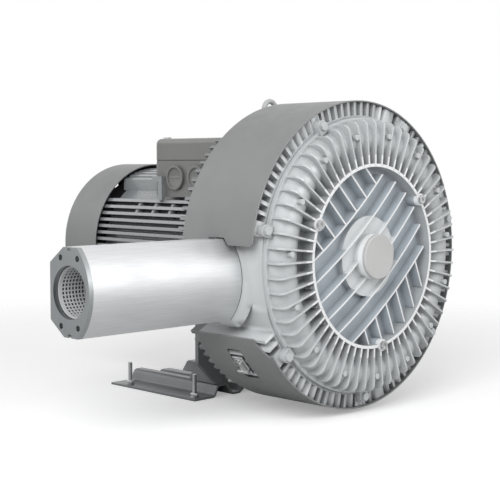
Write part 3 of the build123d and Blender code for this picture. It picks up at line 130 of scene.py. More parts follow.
class Graph:
    """A material's node tree with short calls for the nodes that the finishes share."""

    noise_span: tuple[float, float] = (0.3, 0.7)
    tone_span: tuple[float, float] = (0.35, 0.65)
    edge_span: tuple[float, float] = (0.97, 0.8)
    edge_samples: int = 4
    shade_samples: int = 6

    def __init__(self, name: str) -> None:
        """Starts an empty tree that ends in one Principled shader.

        Args:
            name: Name of the material.
        """
        self.material = bpy.data.materials.new(name)
        self.material.use_nodes = True
        self.tree = self.material.node_tree
        self.shader = self.tree.nodes["Principled BSDF"]
        self.place = self.tree.nodes.new("ShaderNodeTexCoord").outputs["Object"]

    def wire(self, source: bpy.types.NodeSocket, target: bpy.types.NodeSocket) -> None:
        """Joins two sockets.

        Args:
            source: Socket that gives the value.
            target: Socket that takes it.
        """
        self.tree.links.new(source, target)

    def stretched(self, scale: tuple[float, float, float]) -> bpy.types.NodeSocket:
        """Object coordinates with their own scale along each axis.

        Args:
            scale: Factor along X, Y and Z.

        Returns:
            The scaled coordinates.
        """
        mapping = self.tree.nodes.new("ShaderNodeMapping")
        mapping.inputs["Scale"].default_value = scale
        self.wire(self.place, mapping.inputs["Vector"])
        return mapping.outputs["Vector"]

    def noise(
        self, scale: float, detail: float = 4.0, place: bpy.types.NodeSocket | None = None
    ) -> bpy.types.NodeSocket:
        """Noise over the surface.

        Args:
            scale: Waves per metre.
            detail: Octaves.
            place: Coordinates; object coordinates if left out.

        Returns:
            The noise value from 0 to 1.
        """
        node = self.tree.nodes.new("ShaderNodeTexNoise")
        node.inputs["Scale"].default_value = scale
        node.inputs["Detail"].default_value = detail
        self.wire(place or self.place, node.inputs["Vector"])
        return node.outputs["Fac"]

    def ranged(self, value: bpy.types.NodeSocket, low: float, high: float) -> bpy.types.NodeSocket:
        """Stretches the middle of a noise onto a range of values.

        Args:
            value: The noise.
            low: Result at the foot of the noise's usual span.
            high: Result at its top.

        Returns:
            The stretched value.
        """
        node = self.tree.nodes.new("ShaderNodeMapRange")
        node.inputs["From Min"].default_value = self.noise_span[0]
        node.inputs["From Max"].default_value = self.noise_span[1]
        node.inputs["To Min"].default_value = low
        node.inputs["To Max"].default_value = high
        self.wire(value, node.inputs["Value"])
        return node.outputs["Result"]

    def toned(self, value: bpy.types.NodeSocket, dark: Tone, light: Tone) -> bpy.types.NodeSocket:
        """Colour between two tones.

        Args:
            value: Noise that picks the tone.
            dark: Tone where the noise is low.
            light: Tone where it is high.

        Returns:
            The colour.
        """
        ramp = self.tree.nodes.new("ShaderNodeValToRGB")
        for stop, position, tone in zip(ramp.color_ramp.elements, self.tone_span, (dark, light)):
            stop.position = position
            stop.color = (*tone, 1.0)
        self.wire(value, ramp.inputs["Fac"])
        return ramp.outputs["Color"]

    def math(
        self,
        operation: str,
        first: bpy.types.NodeSocket | float,
        second: bpy.types.NodeSocket | float = 0.0,
        clamp: bool = False,
    ) -> bpy.types.NodeSocket:
        """One sum, product or comparison of two values.

        Args:
            operation: Name of the operation.
            first: First value or socket.
            second: Second value or socket.
            clamp: Whether the result is kept between 0 and 1.

        Returns:
            The result.
        """
        node = self.tree.nodes.new("ShaderNodeMath")
        node.operation = operation
        node.use_clamp = clamp
        for socket, value in zip(node.inputs, (first, second)):
            if isinstance(value, float):
                socket.default_value = value
            else:
                self.wire(value, socket)
        return node.outputs["Value"]

    def step(self, value: bpy.types.NodeSocket, start: float, end: float) -> bpy.types.NodeSocket:
        """Smooth step from 0 at start to 1 at end; start may be the larger one.

        Args:
            value: The value that is tested.
            start: Where the step begins.
            end: Where the step is complete.

        Returns:
            The share from 0 to 1.
        """
        node = self.tree.nodes.new("ShaderNodeMapRange")
        node.interpolation_type = "SMOOTHSTEP"
        node.inputs["From Min"].default_value = start
        node.inputs["From Max"].default_value = end
        self.wire(value, node.inputs["Value"])
        return node.outputs["Result"]

    def mixed(
        self,
        share: bpy.types.NodeSocket,
        first: bpy.types.NodeSocket | Tone,
        second: bpy.types.NodeSocket | Tone,
    ) -> bpy.types.NodeSocket:
        """Blends two colours.

        Args:
            share: Share of the second colour.
            first: First colour or socket.
            second: Second colour or socket.

        Returns:
            The blended colour.
        """
        mix = self.tree.nodes.new("ShaderNodeMix")
        mix.data_type = "RGBA"
        # The colour sockets share their names with the number sockets, so they are told by index.
        self.wire(share, mix.inputs[0])
        for socket, colour in ((mix.inputs[6], first), (mix.inputs[7], second)):
            if isinstance(colour, tuple):
                socket.default_value = (*colour, 1.0)
            else:
                self.wire(colour, socket)
        return mix.outputs[2]

    def rounded(self, radius: float) -> bpy.types.NodeSocket:
        """Normal that runs softly over every edge.

        Args:
            radius: Width of the softening in metres.

        Returns:
            The softened normal.
        """
        node = self.tree.nodes.new("ShaderNodeBevel")
        node.samples = self.edge_samples
        node.inputs["Radius"].default_value = radius
        return node.outputs["Normal"]

    def edges(self, normal: bpy.types.NodeSocket) -> bpy.types.NodeSocket:
        """Share of an edge in a point, from how far its softened normal leans.

        Args:
            normal: The softened normal.

        Returns:
            1 on edges and 0 on faces.
        """
        geometry = self.tree.nodes.new("ShaderNodeNewGeometry")
        product = self.tree.nodes.new("ShaderNodeVectorMath")
        product.operation = "DOT_PRODUCT"
        self.wire(normal, product.inputs[0])
        self.wire(geometry.outputs["Normal"], product.inputs[1])
        return self.step(product.outputs["Value"], *self.edge_span)

    def openness(self, reach: float) -> bpy.types.NodeSocket:
        """How open a point lies: 0 deep in a gap, 1 in the open.

        Args:
            reach: How far away a wall still counts, in metres.

        Returns:
            The openness.
        """
        node = self.tree.nodes.new("ShaderNodeAmbientOcclusion")
        node.samples = self.shade_samples
        node.inputs["Distance"].default_value = reach
        return node.outputs["AO"]

    def from_shaft(self) -> bpy.types.NodeSocket:
        """Distance of a point from the shaft axis.

        Returns:
            The distance in metres.
        """
        flat = self.tree.nodes.new("ShaderNodeVectorMath")
        flat.operation = "MULTIPLY"
        flat.inputs[1].default_value = (1.0, 0.0, 1.0)
        self.wire(self.place, flat.inputs[0])
        reach = self.tree.nodes.new("ShaderNodeVectorMath")
        reach.operation = "DISTANCE"
        reach.inputs[1].default_value = (0.0, 0.0, SHAFT_HEIGHT)
        self.wire(flat.outputs["Vector"], reach.inputs[0])
        return reach.outputs["Value"]

    def along(self, axis: str = "Y") -> bpy.types.NodeSocket:
        """Place of a point along one axis, in metres.

        Args:
            axis: Letter of the axis; Y runs along the shaft.

        Returns:
            The place.
        """
        node = self.tree.nodes.new("ShaderNodeSeparateXYZ")
        self.wire(self.place, node.inputs["Vector"])
        return node.outputs[axis]

    def roughened(self, value: bpy.types.NodeSocket, middle: float, below: float, above: float) -> None:
        """Lets the roughness wander around its middle.

        Args:
            value: Noise that moves it.
            middle: The finish's roughness.
            below: How far it falls.
            above: How far it rises.
        """
        self.wire(self.ranged(value, middle - below, middle + above), self.shader.inputs["Roughness"])

    def raised(
        self,
        value: bpy.types.NodeSocket,
        strength: float,
        distance: float,
        normal: bpy.types.NodeSocket | None = None,
    ) -> None:
        """Uses a value as the relief of the surface.

        Args:
            value: Height from 0 to 1.
            strength: Share of the relief that shows.
            distance: Height in metres.
            normal: Normal under the relief.
        """
        bump = self.tree.nodes.new("ShaderNodeBump")
        bump.inputs["Strength"].default_value = strength
        bump.inputs["Distance"].default_value = distance
        self.wire(value, bump.inputs["Height"])
        if normal:
            self.wire(normal, bump.inputs["Normal"])
        self.wire(bump.outputs["Normal"], self.shader.inputs["Normal"])


@dataclass(frozen=True)
class Paint:
    """Sprayed coat on sheet or castings: two near tones, a fine grain, edges lighter partly from wear and
    partly from a painted highlight, painted shade in gaps and corners.
    """

    name: str
    tone: Tone
    roughness: float = 0.42
    metallic: float = 0.0
    spread: float = 0.05
    grain: float = 900.0
    relief: float = 0.0001
    coat: float = 0.0
    # The edge share and its tone lighten the edges: partly wear, partly a painted highlight.
    edge: float = 0.5
    edge_wear_and_highlight_tone: Tone = (0.62, 0.63, 0.64)
    softness: float = 0.0006
    # The shade share, reach and tone paint shade into gaps and corners.
    shade: float = 0.55
    shade_reach: float = 0.02
    shade_tone: Tone = (0.05, 0.055, 0.06)
    cloud: float = 9.0
    gloss_cloud: float = 60.0
    grain_strength: float = 0.4
    coat_roughness: float = 0.2

    def colour(self, graph: Graph) -> bpy.types.NodeSocket:
        """Colour away from edges and corners.

        Args:
            graph: The material that is built.

        Returns:
            The colour.
        """
        return graph.toned(graph.noise(self.cloud, detail=6.0), *shades(self.tone, self.spread))

    def make(self) -> bpy.types.Material:
        """Builds the material of this coat.

        Returns:
            The material.
        """
        graph = Graph(self.name)
        soft = graph.rounded(self.softness)
        # Painted highlight with some wear: the edges blend towards the light edge tone.
        share = graph.math("MULTIPLY", graph.edges(soft), self.edge)
        colour = graph.mixed(share, self.colour(graph), self.edge_wear_and_highlight_tone)
        # Painted shade: the colour darkens towards the shade tone where walls close in.
        hollow = graph.math("SUBTRACT", 1.0, graph.openness(self.shade_reach), clamp=True)
        shade = graph.math("MULTIPLY", hollow, self.shade)
        colour = graph.mixed(shade, colour, self.shade_tone)
        graph.wire(colour, graph.shader.inputs["Base Color"])
        gloss = graph.noise(self.gloss_cloud, detail=5.0)
        graph.roughened(gloss, self.roughness, below=0.05, above=0.07)
        graph.raised(graph.noise(self.grain, detail=3.0), self.grain_strength, self.relief, soft)
        graph.shader.inputs["Metallic"].default_value = self.metallic
        graph.shader.inputs["Coat Weight"].default_value = self.coat
        graph.shader.inputs["Coat Roughness"].default_value = self.coat_roughness
        return graph.material


@dataclass(frozen=True)
class CoverPaint(Paint):
    """Silver coat of the front cover: painted highlight on the crests, painted shade and sheen across the
    torus, and a deeper tone on the floor of the sunk disc.
    """

    disc_tone: Tone = (0.43, 0.47, 0.505)
    disc_gain: float = 1.25
    disc_cloud: float = 16.0
    # Painted highlight on the foremost faces of the ribs and the ring.
    crest_highlight_tone: Tone = (0.93, 0.94, 0.95)
    collar_tone: Tone = (0.74, 0.76, 0.77)
    # Painted shade near the ring and painted sheen towards the outer band of the torus.
    inner_shade_tone: Tone = (0.50, 0.52, 0.53)
    sheen_from: float = 0.124
    sheen_to: float = 0.148
    disc_radius: float = 0.1150
    collar_radius: float = 0.053
    disc_crest: float = -0.3062
    ring_crest: float = -0.3104
    ring_radius: float = 0.1300
    passage: float = 0.001

    def colour(self, graph: Graph) -> bpy.types.NodeSocket:
        """Colour by place: silver with painted shade near the ring and painted sheen outwards, darker disc,
        painted highlight on the crests of ribs and ring, bright collar.

        Args:
            graph: The material that is built.

        Returns:
            The colour.
        """
        reach = graph.from_shaft()
        depth = graph.along()
        # Painted shade and sheen: the silver lightens from the ring towards the outer band.
        outer_sheen = graph.step(reach, self.sheen_from, self.sheen_to)
        silver = graph.mixed(outer_sheen, self.inner_shade_tone, super().colour(graph))
        lit = tuple(channel * self.disc_gain for channel in self.disc_tone)
        floor = graph.toned(graph.noise(self.disc_cloud, detail=5.0), self.disc_tone, lit)
        inside = graph.step(reach, self.disc_radius, self.disc_radius - self.passage)
        outside = graph.step(reach, self.collar_radius - 2 * self.passage, self.collar_radius)
        colour = graph.mixed(inside, silver, graph.mixed(outside, self.collar_tone, floor))
        # Painted highlight: the foremost faces of the ribs and of the ring turn almost white.
        ribs = graph.step(depth, self.disc_crest, self.disc_crest - SLACK)
        ring = graph.step(depth, self.ring_crest, self.ring_crest - SLACK)
        near = graph.step(reach, self.ring_radius + self.passage, self.ring_radius)
        inner = graph.math("MULTIPLY", inside, ribs)
        outer = graph.math("MULTIPLY", near, ring)
        return graph.mixed(graph.math("MAXIMUM", inner, outer), colour, self.crest_highlight_tone)


@dataclass(frozen=True)
class CasingPaint(Paint):
    """Silver coat of the casing that turns grey behind the shroud."""

    rear_tone: Tone = (0.25, 0.255, 0.26)
    grey_from: float = -0.1640
    passage: float = 0.004

    def colour(self, graph: Graph) -> bpy.types.NodeSocket:
        """Silver in front, grey behind.

        Args:
            graph: The material that is built.

        Returns:
            The colour.
        """
        share = graph.step(graph.along(), self.grey_from - self.passage, self.grey_from)
        return graph.mixed(share, super().colour(graph), self.rear_tone)


@dataclass(frozen=True)
class BareMetal:
    """Bare metal with drawing or turning lines in one direction."""

    name: str
    tone: Tone
    roughness: float = 0.3
    lines: Along = Along.Y
    pitch: float = 1400.0
    relief: float = 0.00006
    spread: float = 0.05
    softness: float = 0.0005
    gloss_cloud: float = 25.0
    line_strength: float = 0.35

    def make(self) -> bpy.types.Material:
        """Builds the material of this metal.

        Returns:
            The material.
        """
        graph = Graph(self.name)
        streak = graph.noise(self.pitch, detail=3.0, place=graph.stretched(self.lines.value))
        graph.wire(self.colour(graph, streak), graph.shader.inputs["Base Color"])
        graph.roughened(graph.noise(self.gloss_cloud), self.roughness, below=0.05, above=0.07)
        self.relieve(graph, streak)
        graph.shader.inputs["Metallic"].default_value = 1.0
        return graph.material

    def colour(self, graph: Graph, streak: bpy.types.NodeSocket) -> bpy.types.NodeSocket:
        """Colour of the metal, a little uneven along its lines.

        Args:
            graph: The material that is built.
            streak: The drawing lines.

        Returns:
            The colour.
        """
        return graph.toned(streak, *shades(self.tone, self.spread))

    def relieve(self, graph: Graph, streak: bpy.types.NodeSocket) -> None:
        """Gives the surface its relief.

        Args:
            graph: The material that is built.
            streak: The drawing lines.
        """
        graph.raised(streak, self.line_strength, self.relief, graph.rounded(self.softness))


@dataclass(frozen=True)
class Extrusion(BareMetal):
    """Drawn silencer body with the dark joint line where it meets the casting."""

    joint: float = 0.0
    joint_width: float = 0.0009
    joint_blur: float = 0.0003
    joint_tone: Tone = (0.10, 0.105, 0.11)

    def colour(self, graph: Graph, streak: bpy.types.NodeSocket) -> bpy.types.NodeSocket:
        """Colour of the metal with the joint line at its foot.

        Args:
            graph: The material that is built.
            streak: The drawing lines.

        Returns:
            The colour.
        """
        gap = graph.math("ABSOLUTE", graph.math("SUBTRACT", graph.along(self.lines.name), self.joint))
        share = graph.step(gap, self.joint_width + self.joint_blur, self.joint_width)
        return graph.mixed(share, super().colour(graph, streak), self.joint_tone)


@dataclass(frozen=True)
class Threaded(BareMetal):
    """Bare metal with a rolled thread around vertical studs.

    The wave runs through wave_unit radians in each metre at a scale of 1.
    """

    thread_pitch: float = 0.001
    thread_depth: float = 0.0005
    wave_unit: float = 20.0

    def relieve(self, graph: Graph, streak: bpy.types.NodeSocket) -> None:
        """Lays the turns of the thread over the surface.

        Args:
            graph: The material that is built.
            streak: The drawing lines, which a thread covers; not used.
        """
        wave = graph.tree.nodes.new("ShaderNodeTexWave")
        wave.bands_direction = "Z"
        wave.inputs["Scale"].default_value = tau / (self.wave_unit * self.thread_pitch)
        graph.wire(graph.place, wave.inputs["Vector"])
        graph.raised(wave.outputs["Fac"], strength=1.0, distance=self.thread_depth)


@dataclass(frozen=True)
class Dull:
    """Rubber, plastic, felt or varnished wire: matte, with a grain of its own size."""

    name: str
    tone: Tone
    roughness: float = 0.7
    grain: float = 500.0
    relief: float = 0.0002
    spread: float = 0.12
    metallic: float = 0.0
    grain_strength: float = 0.6

    def make(self) -> bpy.types.Material:
        """Builds the material of this rubber, plastic, felt or wire.

        Returns:
            The material.
        """
        graph = Graph(self.name)
        speck = graph.noise(self.grain, detail=5.0)
        colour = graph.toned(speck, *shades(self.tone, self.spread))
        graph.wire(colour, graph.shader.inputs["Base Color"])
        graph.roughened(speck, self.roughness, below=0.08, above=0.08)
        graph.raised(speck, self.grain_strength, self.relief)
        graph.shader.inputs["Metallic"].default_value = self.metallic
        return graph.material


class Finishes:
    """All finishes of the blower, made once and shared."""

    def __init__(self) -> None:
        """Makes every finish, with the joint lines where the silencer bodies end."""
        silver = (0.60, 0.62, 0.63)
        satin = (0.72, 0.73, 0.74)
        _, inlet_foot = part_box("inlet_silencer_body")
        outlet_foot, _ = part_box("outlet_silencer_body")
        # Each coat below lightens its edges partly as wear and partly as a painted highlight, and paints
        # shade into its gaps.
        self.cast_silver = CoverPaint(
            "silver_cover_coat", silver, roughness=0.34, metallic=0.1, edge=0.9, shade=0.35,
            edge_wear_and_highlight_tone=(0.93, 0.94, 0.95), softness=0.0009, relief=0.00016, grain=500.0, shade_reach=0.012,
        ).make()
        self.casing_silver = CasingPaint(
            "silver_casing_coat", silver, roughness=0.38, metallic=0.15, edge=0.7, shade=0.35,
            edge_wear_and_highlight_tone=(0.85, 0.86, 0.87), relief=0.00016, grain=500.0,
        ).make()
        self.cap_grey = Paint(
            "matte_cap_coat", (0.56, 0.56, 0.555), roughness=0.62, relief=0.0002, edge=0.6, shade=0.2,
            edge_wear_and_highlight_tone=(0.8, 0.8, 0.79),
        ).make()
        self.sheet_grey = Paint(
            "grey_sheet_coat", (0.228, 0.232, 0.232), roughness=0.42, relief=0.00005, edge=0.9, shade=0.3,
            edge_wear_and_highlight_tone=(0.78, 0.79, 0.79),
        ).make()
        self.motor_grey = Paint(
            "grey_motor_coat", (0.27, 0.285, 0.295), roughness=0.26, coat=0.6, edge=0.6, shade=0.3,
            edge_wear_and_highlight_tone=(0.5, 0.52, 0.53), shade_reach=0.012,
        ).make()
        self.box_grey = Paint(
            "grey_box_coat", (0.172, 0.172, 0.168), roughness=0.33, coat=0.3, edge=0.5, shade=0.4,
            edge_wear_and_highlight_tone=(0.5, 0.51, 0.52),
        ).make()
        self.plate_grey = Paint(
            "blue_grey_plate_coat", (0.19, 0.20, 0.205), roughness=0.38, coat=0.2, edge=0.6, shade=0.4,
        ).make()
        self.eye_coat = Paint(
            "light_eye_coat", (0.50, 0.51, 0.51), roughness=0.4, edge=0.3, shade=0.3,
        ).make()
        self.extrusion_x = Extrusion(
            "satin_extrusion_along_x", satin, roughness=0.50, lines=Along.X, joint=inlet_foot.x
        ).make()
        self.extrusion_y = Extrusion(
            "satin_extrusion_along_y", satin, roughness=0.50, lines=Along.Y, joint=outlet_foot.y
        ).make()
        self.cut_plate = BareMetal(
            "cut_aluminium_plate", (0.40, 0.42, 0.43), roughness=0.42, lines=Along.Z
        ).make()
        self.stud_zinc = Threaded("threaded_zinc_plate", (0.60, 0.61, 0.61), roughness=0.32).make()
        self.zinc = BareMetal("zinc_plate", (0.66, 0.67, 0.67), roughness=0.3, pitch=900.0).make()
        self.steel = BareMetal("turned_steel", (0.55, 0.55, 0.55), roughness=0.25).make()
        self.bare_cast = BareMetal(
            "bare_cast_aluminium", (0.68, 0.685, 0.69), roughness=0.42, pitch=600.0
        ).make()
        self.mesh_steel = Paint(
            "perforated_sheet", (0.70, 0.71, 0.72), roughness=0.5, metallic=0.1, shade=0.0, edge=0.2
        ).make()
        self.rubber = Dull("black_rubber", (0.03, 0.03, 0.03), roughness=0.75).make()
        self.plastic = Dull("dark_plastic", (0.07, 0.07, 0.07), roughness=0.5, relief=0.0001).make()
        self.felt = Dull(
            "sound_felt", (0.07, 0.075, 0.08), roughness=0.95, grain=1800.0, relief=0.0006
        ).make()
        self.copper = Dull(
            "varnished_copper", (0.42, 0.17, 0.07), roughness=0.4, grain=700.0, metallic=0.7
        ).make()
        self.lamination = Dull(
            "stacked_sheet", (0.20, 0.20, 0.21), roughness=0.5, grain=1200.0, metallic=0.8
        ).make()


def dress(frame: dict, names: tuple[str, ...], finish: bpy.types.Material) -> None:
    """Gives CAD nodes a finish.

    Args:
        frame: The loaded frame.
        names: Node names.
        finish: Material for all of them.
    """
    for name in names:
        node = frame["nodes"][name]
        if not node.material_slots:
            node.data.materials.append(finish)
        for slot in node.material_slots:
            slot.material = finish
        LOG.info("dressed %s with %s", name, finish.name)


@dataclass
class Piece:
    """A new mesh piece: a bmesh that becomes an object riding on a body."""

    name: str
    slot: str
    body: Body = Body.STATOR
    shape: bmesh.types.BMesh = field(default_factory=bmesh.new)

    def drum(self, radius: float, height: float, place: Matrix, sides: int) -> list[bmesh.types.BMVert]:
        """Adds a closed drum or prism that stands on a place, along its Z axis.

        Args:
            radius: Radius of the drum.
            height: Its height.
            place: Where the middle of its foot lies.
            sides: Number of its sides.

        Returns:
            Its corners.
        """
        made = bmesh.ops.create_cone(
            self.shape,
            cap_ends=True,
            segments=sides,
            radius1=radius,
            radius2=radius,
            depth=height,
            matrix=place @ Matrix.Translation((0.0, 0.0, height / 2)),
        )
        return made["verts"]

    def cup(
        self, radius: float, height: float, rim: float, depth: float, place: Matrix, sides: int
    ) -> None:
        """Adds a drum whose top is sunk inside a rim.

        Args:
            radius: Radius of the drum.
            height: Its height at the rim.
            rim: Width of the rim.
            depth: How far the middle is sunk.
            place: Where the middle of its foot lies.
            sides: Number of its sides.
        """
        upward = place.to_3x3() @ Vector((0.0, 0.0, 1.0))
        corners = self.drum(radius, height, place, sides)
        top = max(
            {face for corner in corners for face in corner.link_faces},
            key=lambda face: face.calc_center_median().dot(upward),
        )
        bmesh.ops.inset_region(self.shape, faces=[top], thickness=rim, use_even_offset=True)
        sunk = bmesh.ops.extrude_discrete_faces(self.shape, faces=[top])["faces"]
        inner = {corner for face in sunk for corner in face.verts}
        bmesh.ops.translate(self.shape, vec=-depth * upward, verts=list(inner))

    def block(self, size: tuple[float, float, float], place: Matrix) -> None:
        """Adds a box around a place.

        Args:
            size: Its size along the axes of the place.
            place: Its middle.
        """
        bmesh.ops.create_cube(self.shape, size=1.0, matrix=place @ Matrix.Diagonal((*size, 1.0)))

    def soften(self, width: float, segments: int = 2, sharper_than: float = 35.0) -> None:
        """Rounds every sharp edge.

        Args:
            width: Width of the rounding.
            segments: Steps of the rounding.
            sharper_than: Smallest angle in degrees between the faces of an edge that is rounded.
        """
        bmesh.ops.recalc_face_normals(self.shape, faces=self.shape.faces)
        sharp = [
            edge for edge in self.shape.edges if edge.calc_face_angle(0.0) > radians(sharper_than)
        ]
        bmesh.ops.bevel(
            self.shape,
            geom=sharp,
            offset=width,
            offset_type="OFFSET",
            segments=segments,
            profile=0.5,
            affect="EDGES",
            material=-1,
        )

    def finish(
        self, material: bpy.types.Material, stands_for: tuple[str, ...] = (), smooth: float = 40.0
    ) -> bpy.types.Object:
        """Turns the bmesh into an object.

        Args:
            material: Its finish.
            stands_for: CAD nodes that it replaces.
            smooth: Edge angle in degrees above which an edge stays sharp.

        Returns:
            The new object.
        """
        bmesh.ops.remove_doubles(self.shape, verts=self.shape.verts, dist=WELD)
        bmesh.ops.recalc_face_normals(self.shape, faces=self.shape.faces)
        for face in self.shape.faces:
            face.smooth = True
        mesh = bpy.data.meshes.new(self.name)
        self.shape.to_mesh(mesh)
        self.shape.free()
        mesh.set_sharp_from_angle(angle=radians(smooth))
        mesh.materials.append(material)
        made = bpy.data.objects.new(self.name, mesh)
        bpy.context.scene.collection.objects.link(made)
        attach(made, self.body.value)
        if stands_for:
            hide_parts(*stands_for)
        LOG.info("made %s with %d faces", self.name, len(mesh.polygons))
        return made


@dataclass
class BlowerHead:
    """Cast head: cover, casing, shroud and what fastens them."""

    frame: dict
    finishes: Finishes
    lug_angle: float = 222.0
    lug_depth: float = 0.067
    lug_radius: float = 0.199
    lug_plate: tuple[float, float, float] = (0.030, 0.018, 0.004)
    lug_ear: tuple[float, float, float] = (0.004, 0.018, 0.010)
    lug_ear_place: tuple[float, float, float] = (-0.007, 0.0, 0.003)
    lug_rib: tuple[float, float, float] = (0.016, 0.004, 0.009)
    lug_rib_place: tuple[float, float, float] = (0.002, -0.005, 0.0025)
    lug_screw_place: tuple[float, float, float] = (0.0075, 0.003, 0.0)
    lug_screw_radius: float = 0.0045
    lug_screw_height: float = 0.006
    lug_screw_rim: float = 0.0014
    lug_screw_socket: float = 0.003
    lug_rounding: float = 0.0007
    fin_end: float = -0.151
    fin_foot: float = 0.179
    shroud_end: float = -0.1625
    trim_start: float = 50.0
    trim_end: float = 128.0

    def build(self) -> None:
        """Dresses the head."""
        finishes = self.finishes
        dress(self.frame, ("front_cover",), finishes.cast_silver)
        dress(self.frame, ("blower_housing", "drive_end_shield"), finishes.casing_silver)
        self.trimmed_casing()
        dress(self.frame, ("hub_cap",), finishes.cap_grey)
        dress(self.frame, ("upper_shroud", "lower_shroud"), finishes.sheet_grey)
        dress(self.frame, ("ring_screws", "shroud_screws", "shield_bolts"), finishes.zinc)
        dress(self.frame, ("cover_bolts",), finishes.casing_silver)
        dress(self.frame, ("eyebolt",), finishes.eye_coat)
        dress(self.frame, ("divider_plate",), finishes.bare_cast)
        self.window_lug()

    def is_upper_tip(self, corner: bmesh.types.BMVert) -> bool:
        """Whether a corner belongs to the free end of one of the upper fins.

        Args:
            corner: A corner of the casing.

        Returns:
            True for a tip in the sector where the fins end with the shroud.
        """
        up = corner.co.z - SHAFT_HEIGHT
        behind = corner.co.y > self.fin_end - SLACK
        outside = hypot(corner.co.x, up) > self.fin_foot
        above = self.trim_start < degrees(atan2(up, corner.co.x)) < self.trim_end
        return behind and outside and above

    def trimmed_casing(self) -> None:
        """Copy of the casing whose upper fins end with the shroud.

        Only the faces around the tips are cut, so the rest of the casing stays as it is.
        """
        node = self.frame["nodes"]["blower_housing"]
        piece = Piece("blower_casing", "cast_aluminium")
        piece.shape.from_mesh(node.data)
        bmesh.ops.transform(piece.shape, matrix=node.matrix_world, verts=piece.shape.verts)
        bmesh.ops.remove_doubles(piece.shape, verts=piece.shape.verts, dist=WELD)
        tips = [corner for corner in piece.shape.verts if self.is_upper_tip(corner)]
        faces = dict.fromkeys(face for tip in tips for face in tip.link_faces)
        edges = dict.fromkeys(edge for face in faces for edge in face.edges)
        corners = dict.fromkeys(corner for face in faces for corner in face.verts)
        cut = bmesh.ops.bisect_plane(
            piece.shape,
            geom=[*corners, *edges, *faces],
            plane_co=(0.0, self.shroud_end, 0.0),
            plane_no=(0.0, 1.0, 0.0),
            clear_outer=True,
        )["geom_cut"]
        rims = [part for part in cut if isinstance(part, bmesh.types.BMEdge)]
        bmesh.ops.holes_fill(piece.shape, edges=rims)
        piece.finish(self.finishes.casing_silver, stands_for=("blower_housing",))

    def window_lug(self) -> None:
        """Cast lug with its screw, seen through the window of the lower shroud."""
        place = around_shaft(self.lug_angle, SHROUD_FRONT + self.lug_depth, self.lug_radius)
        piece = Piece("window_lug", "zinc_steel")
        piece.block(self.lug_plate, place)
        piece.block(self.lug_ear, place @ Matrix.Translation(self.lug_ear_place))
        piece.block(self.lug_rib, place @ Matrix.Translation(self.lug_rib_place))
        piece.soften(self.lug_rounding)
        piece.cup(
            self.lug_screw_radius,
            self.lug_screw_height,
            self.lug_screw_rim,
            self.lug_screw_socket,
            place @ Matrix.Translation(self.lug_screw_place),
            sides=24,
        )
        piece.finish(self.finishes.zinc)


@dataclass
class Inside:
    """What casing, motor frame and cowl hide: impellers, shaft, bearings, seal, rotor, stator, fan."""

    frame: dict
    finishes: Finishes

    def build(self) -> None:
        """Dresses the rotor and what it runs in."""
        finishes = self.finishes
        dress(self.frame, ("front_impeller", "rear_impeller"), finishes.bare_cast)
        rings = tuple(
            f"{place}_bearing_{ring}_ring"
            for place in ("front", "drive", "rear")
            for ring in ("outer", "inner")
        )
        small = ("impeller_spacer", "lock_washer", "lock_nut", "shaft", "shaft_keys", "preload_spring")
        dress(self.frame, rings + small + ("fan_circlip",), finishes.steel)
        dress(self.frame, ("rotor_core", "stator_core"), finishes.lamination)
        dress(self.frame, ("stator_windings",), finishes.copper)
        dress(self.frame, ("cooling_fan",), finishes.plastic)
        dress(self.frame, ("shaft_seal",), finishes.rubber)


@dataclass
class Motor:
    """Motor frame, cowl and terminal box."""

    frame: dict
    finishes: Finishes
    ring_width: float = 0.0016
    ring_height: float = 0.0045
    ring_foot: float = -0.0015
    ring_sunk: float = 0.0025
    ring_rounding: float = 0.0006
    bar_width: float = 0.003
    bar_height: float = 0.002
    bar_share: float = 1.2
    web_angle: float = 30.5
    web_radius: float = 0.1045
    web_size: tuple[float, float, float] = (0.0205, 0.005, 0.010)
    web_places: tuple[float, ...] = (0.34, 0.5, 0.66)
    web_rounding: float = 0.0005

    def build(self) -> None:
        """Dresses the motor."""
        finishes = self.finishes
        dress(self.frame, ("motor_frame", "rear_end_shield", "earth_lug"), finishes.motor_grey)
        dress(self.frame, ("fan_cowl",), finishes.sheet_grey)
        dress(self.frame, ("terminal_box", "terminal_lid", "entry_plugs"), finishes.box_grey)
        dress(self.frame, ("terminal_board",), finishes.plastic)
        dress(self.frame, ("lid_gasket",), finishes.rubber)
        dress(self.frame, ("lid_screws",), finishes.zinc)
        dress(self.frame, ("cowl_screws",), finishes.sheet_grey)
        self.entry_rings()
        self.fin_webs()

    def fin_webs(self) -> None:
        """Short webs that tie the upper side fins of the motor frame together."""
        low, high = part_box("motor_frame")
        piece = Piece("frame_fin_webs", "frame_grey")
        for side in (180.0 - self.web_angle, self.web_angle):
            for share in self.web_places:
                place = around_shaft(side, low.y + share * (high.y - low.y), self.web_radius)
                piece.block(self.web_size, place)
        piece.soften(self.web_rounding)
        piece.finish(self.finishes.motor_grey)

    def entry_rings(self) -> None:
        """Raised rings around the two blanking plugs, with a grip bar across each plug."""
        low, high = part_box("entry_plugs")
        radius = (high.z - low.z) / 2
        piece = Piece("entry_rings", "box_grey")
        for y in (low.y + radius, high.y - radius):
            facing = Matrix.Translation((low.x, y, (low.z + high.z) / 2)) @ Matrix.Rotation(-pi / 2, 4, "Y")
            piece.cup(
                radius + self.ring_width,
                self.ring_height,
                2 * self.ring_width,
                self.ring_sunk,
                facing @ Matrix.Translation((0.0, 0.0, self.ring_foot)),
                sides=64,
            )
            piece.block((self.bar_width, self.bar_share * radius, self.bar_height), facing)
        piece.soften(self.ring_rounding)
        piece.finish(self.finishes.box_grey)


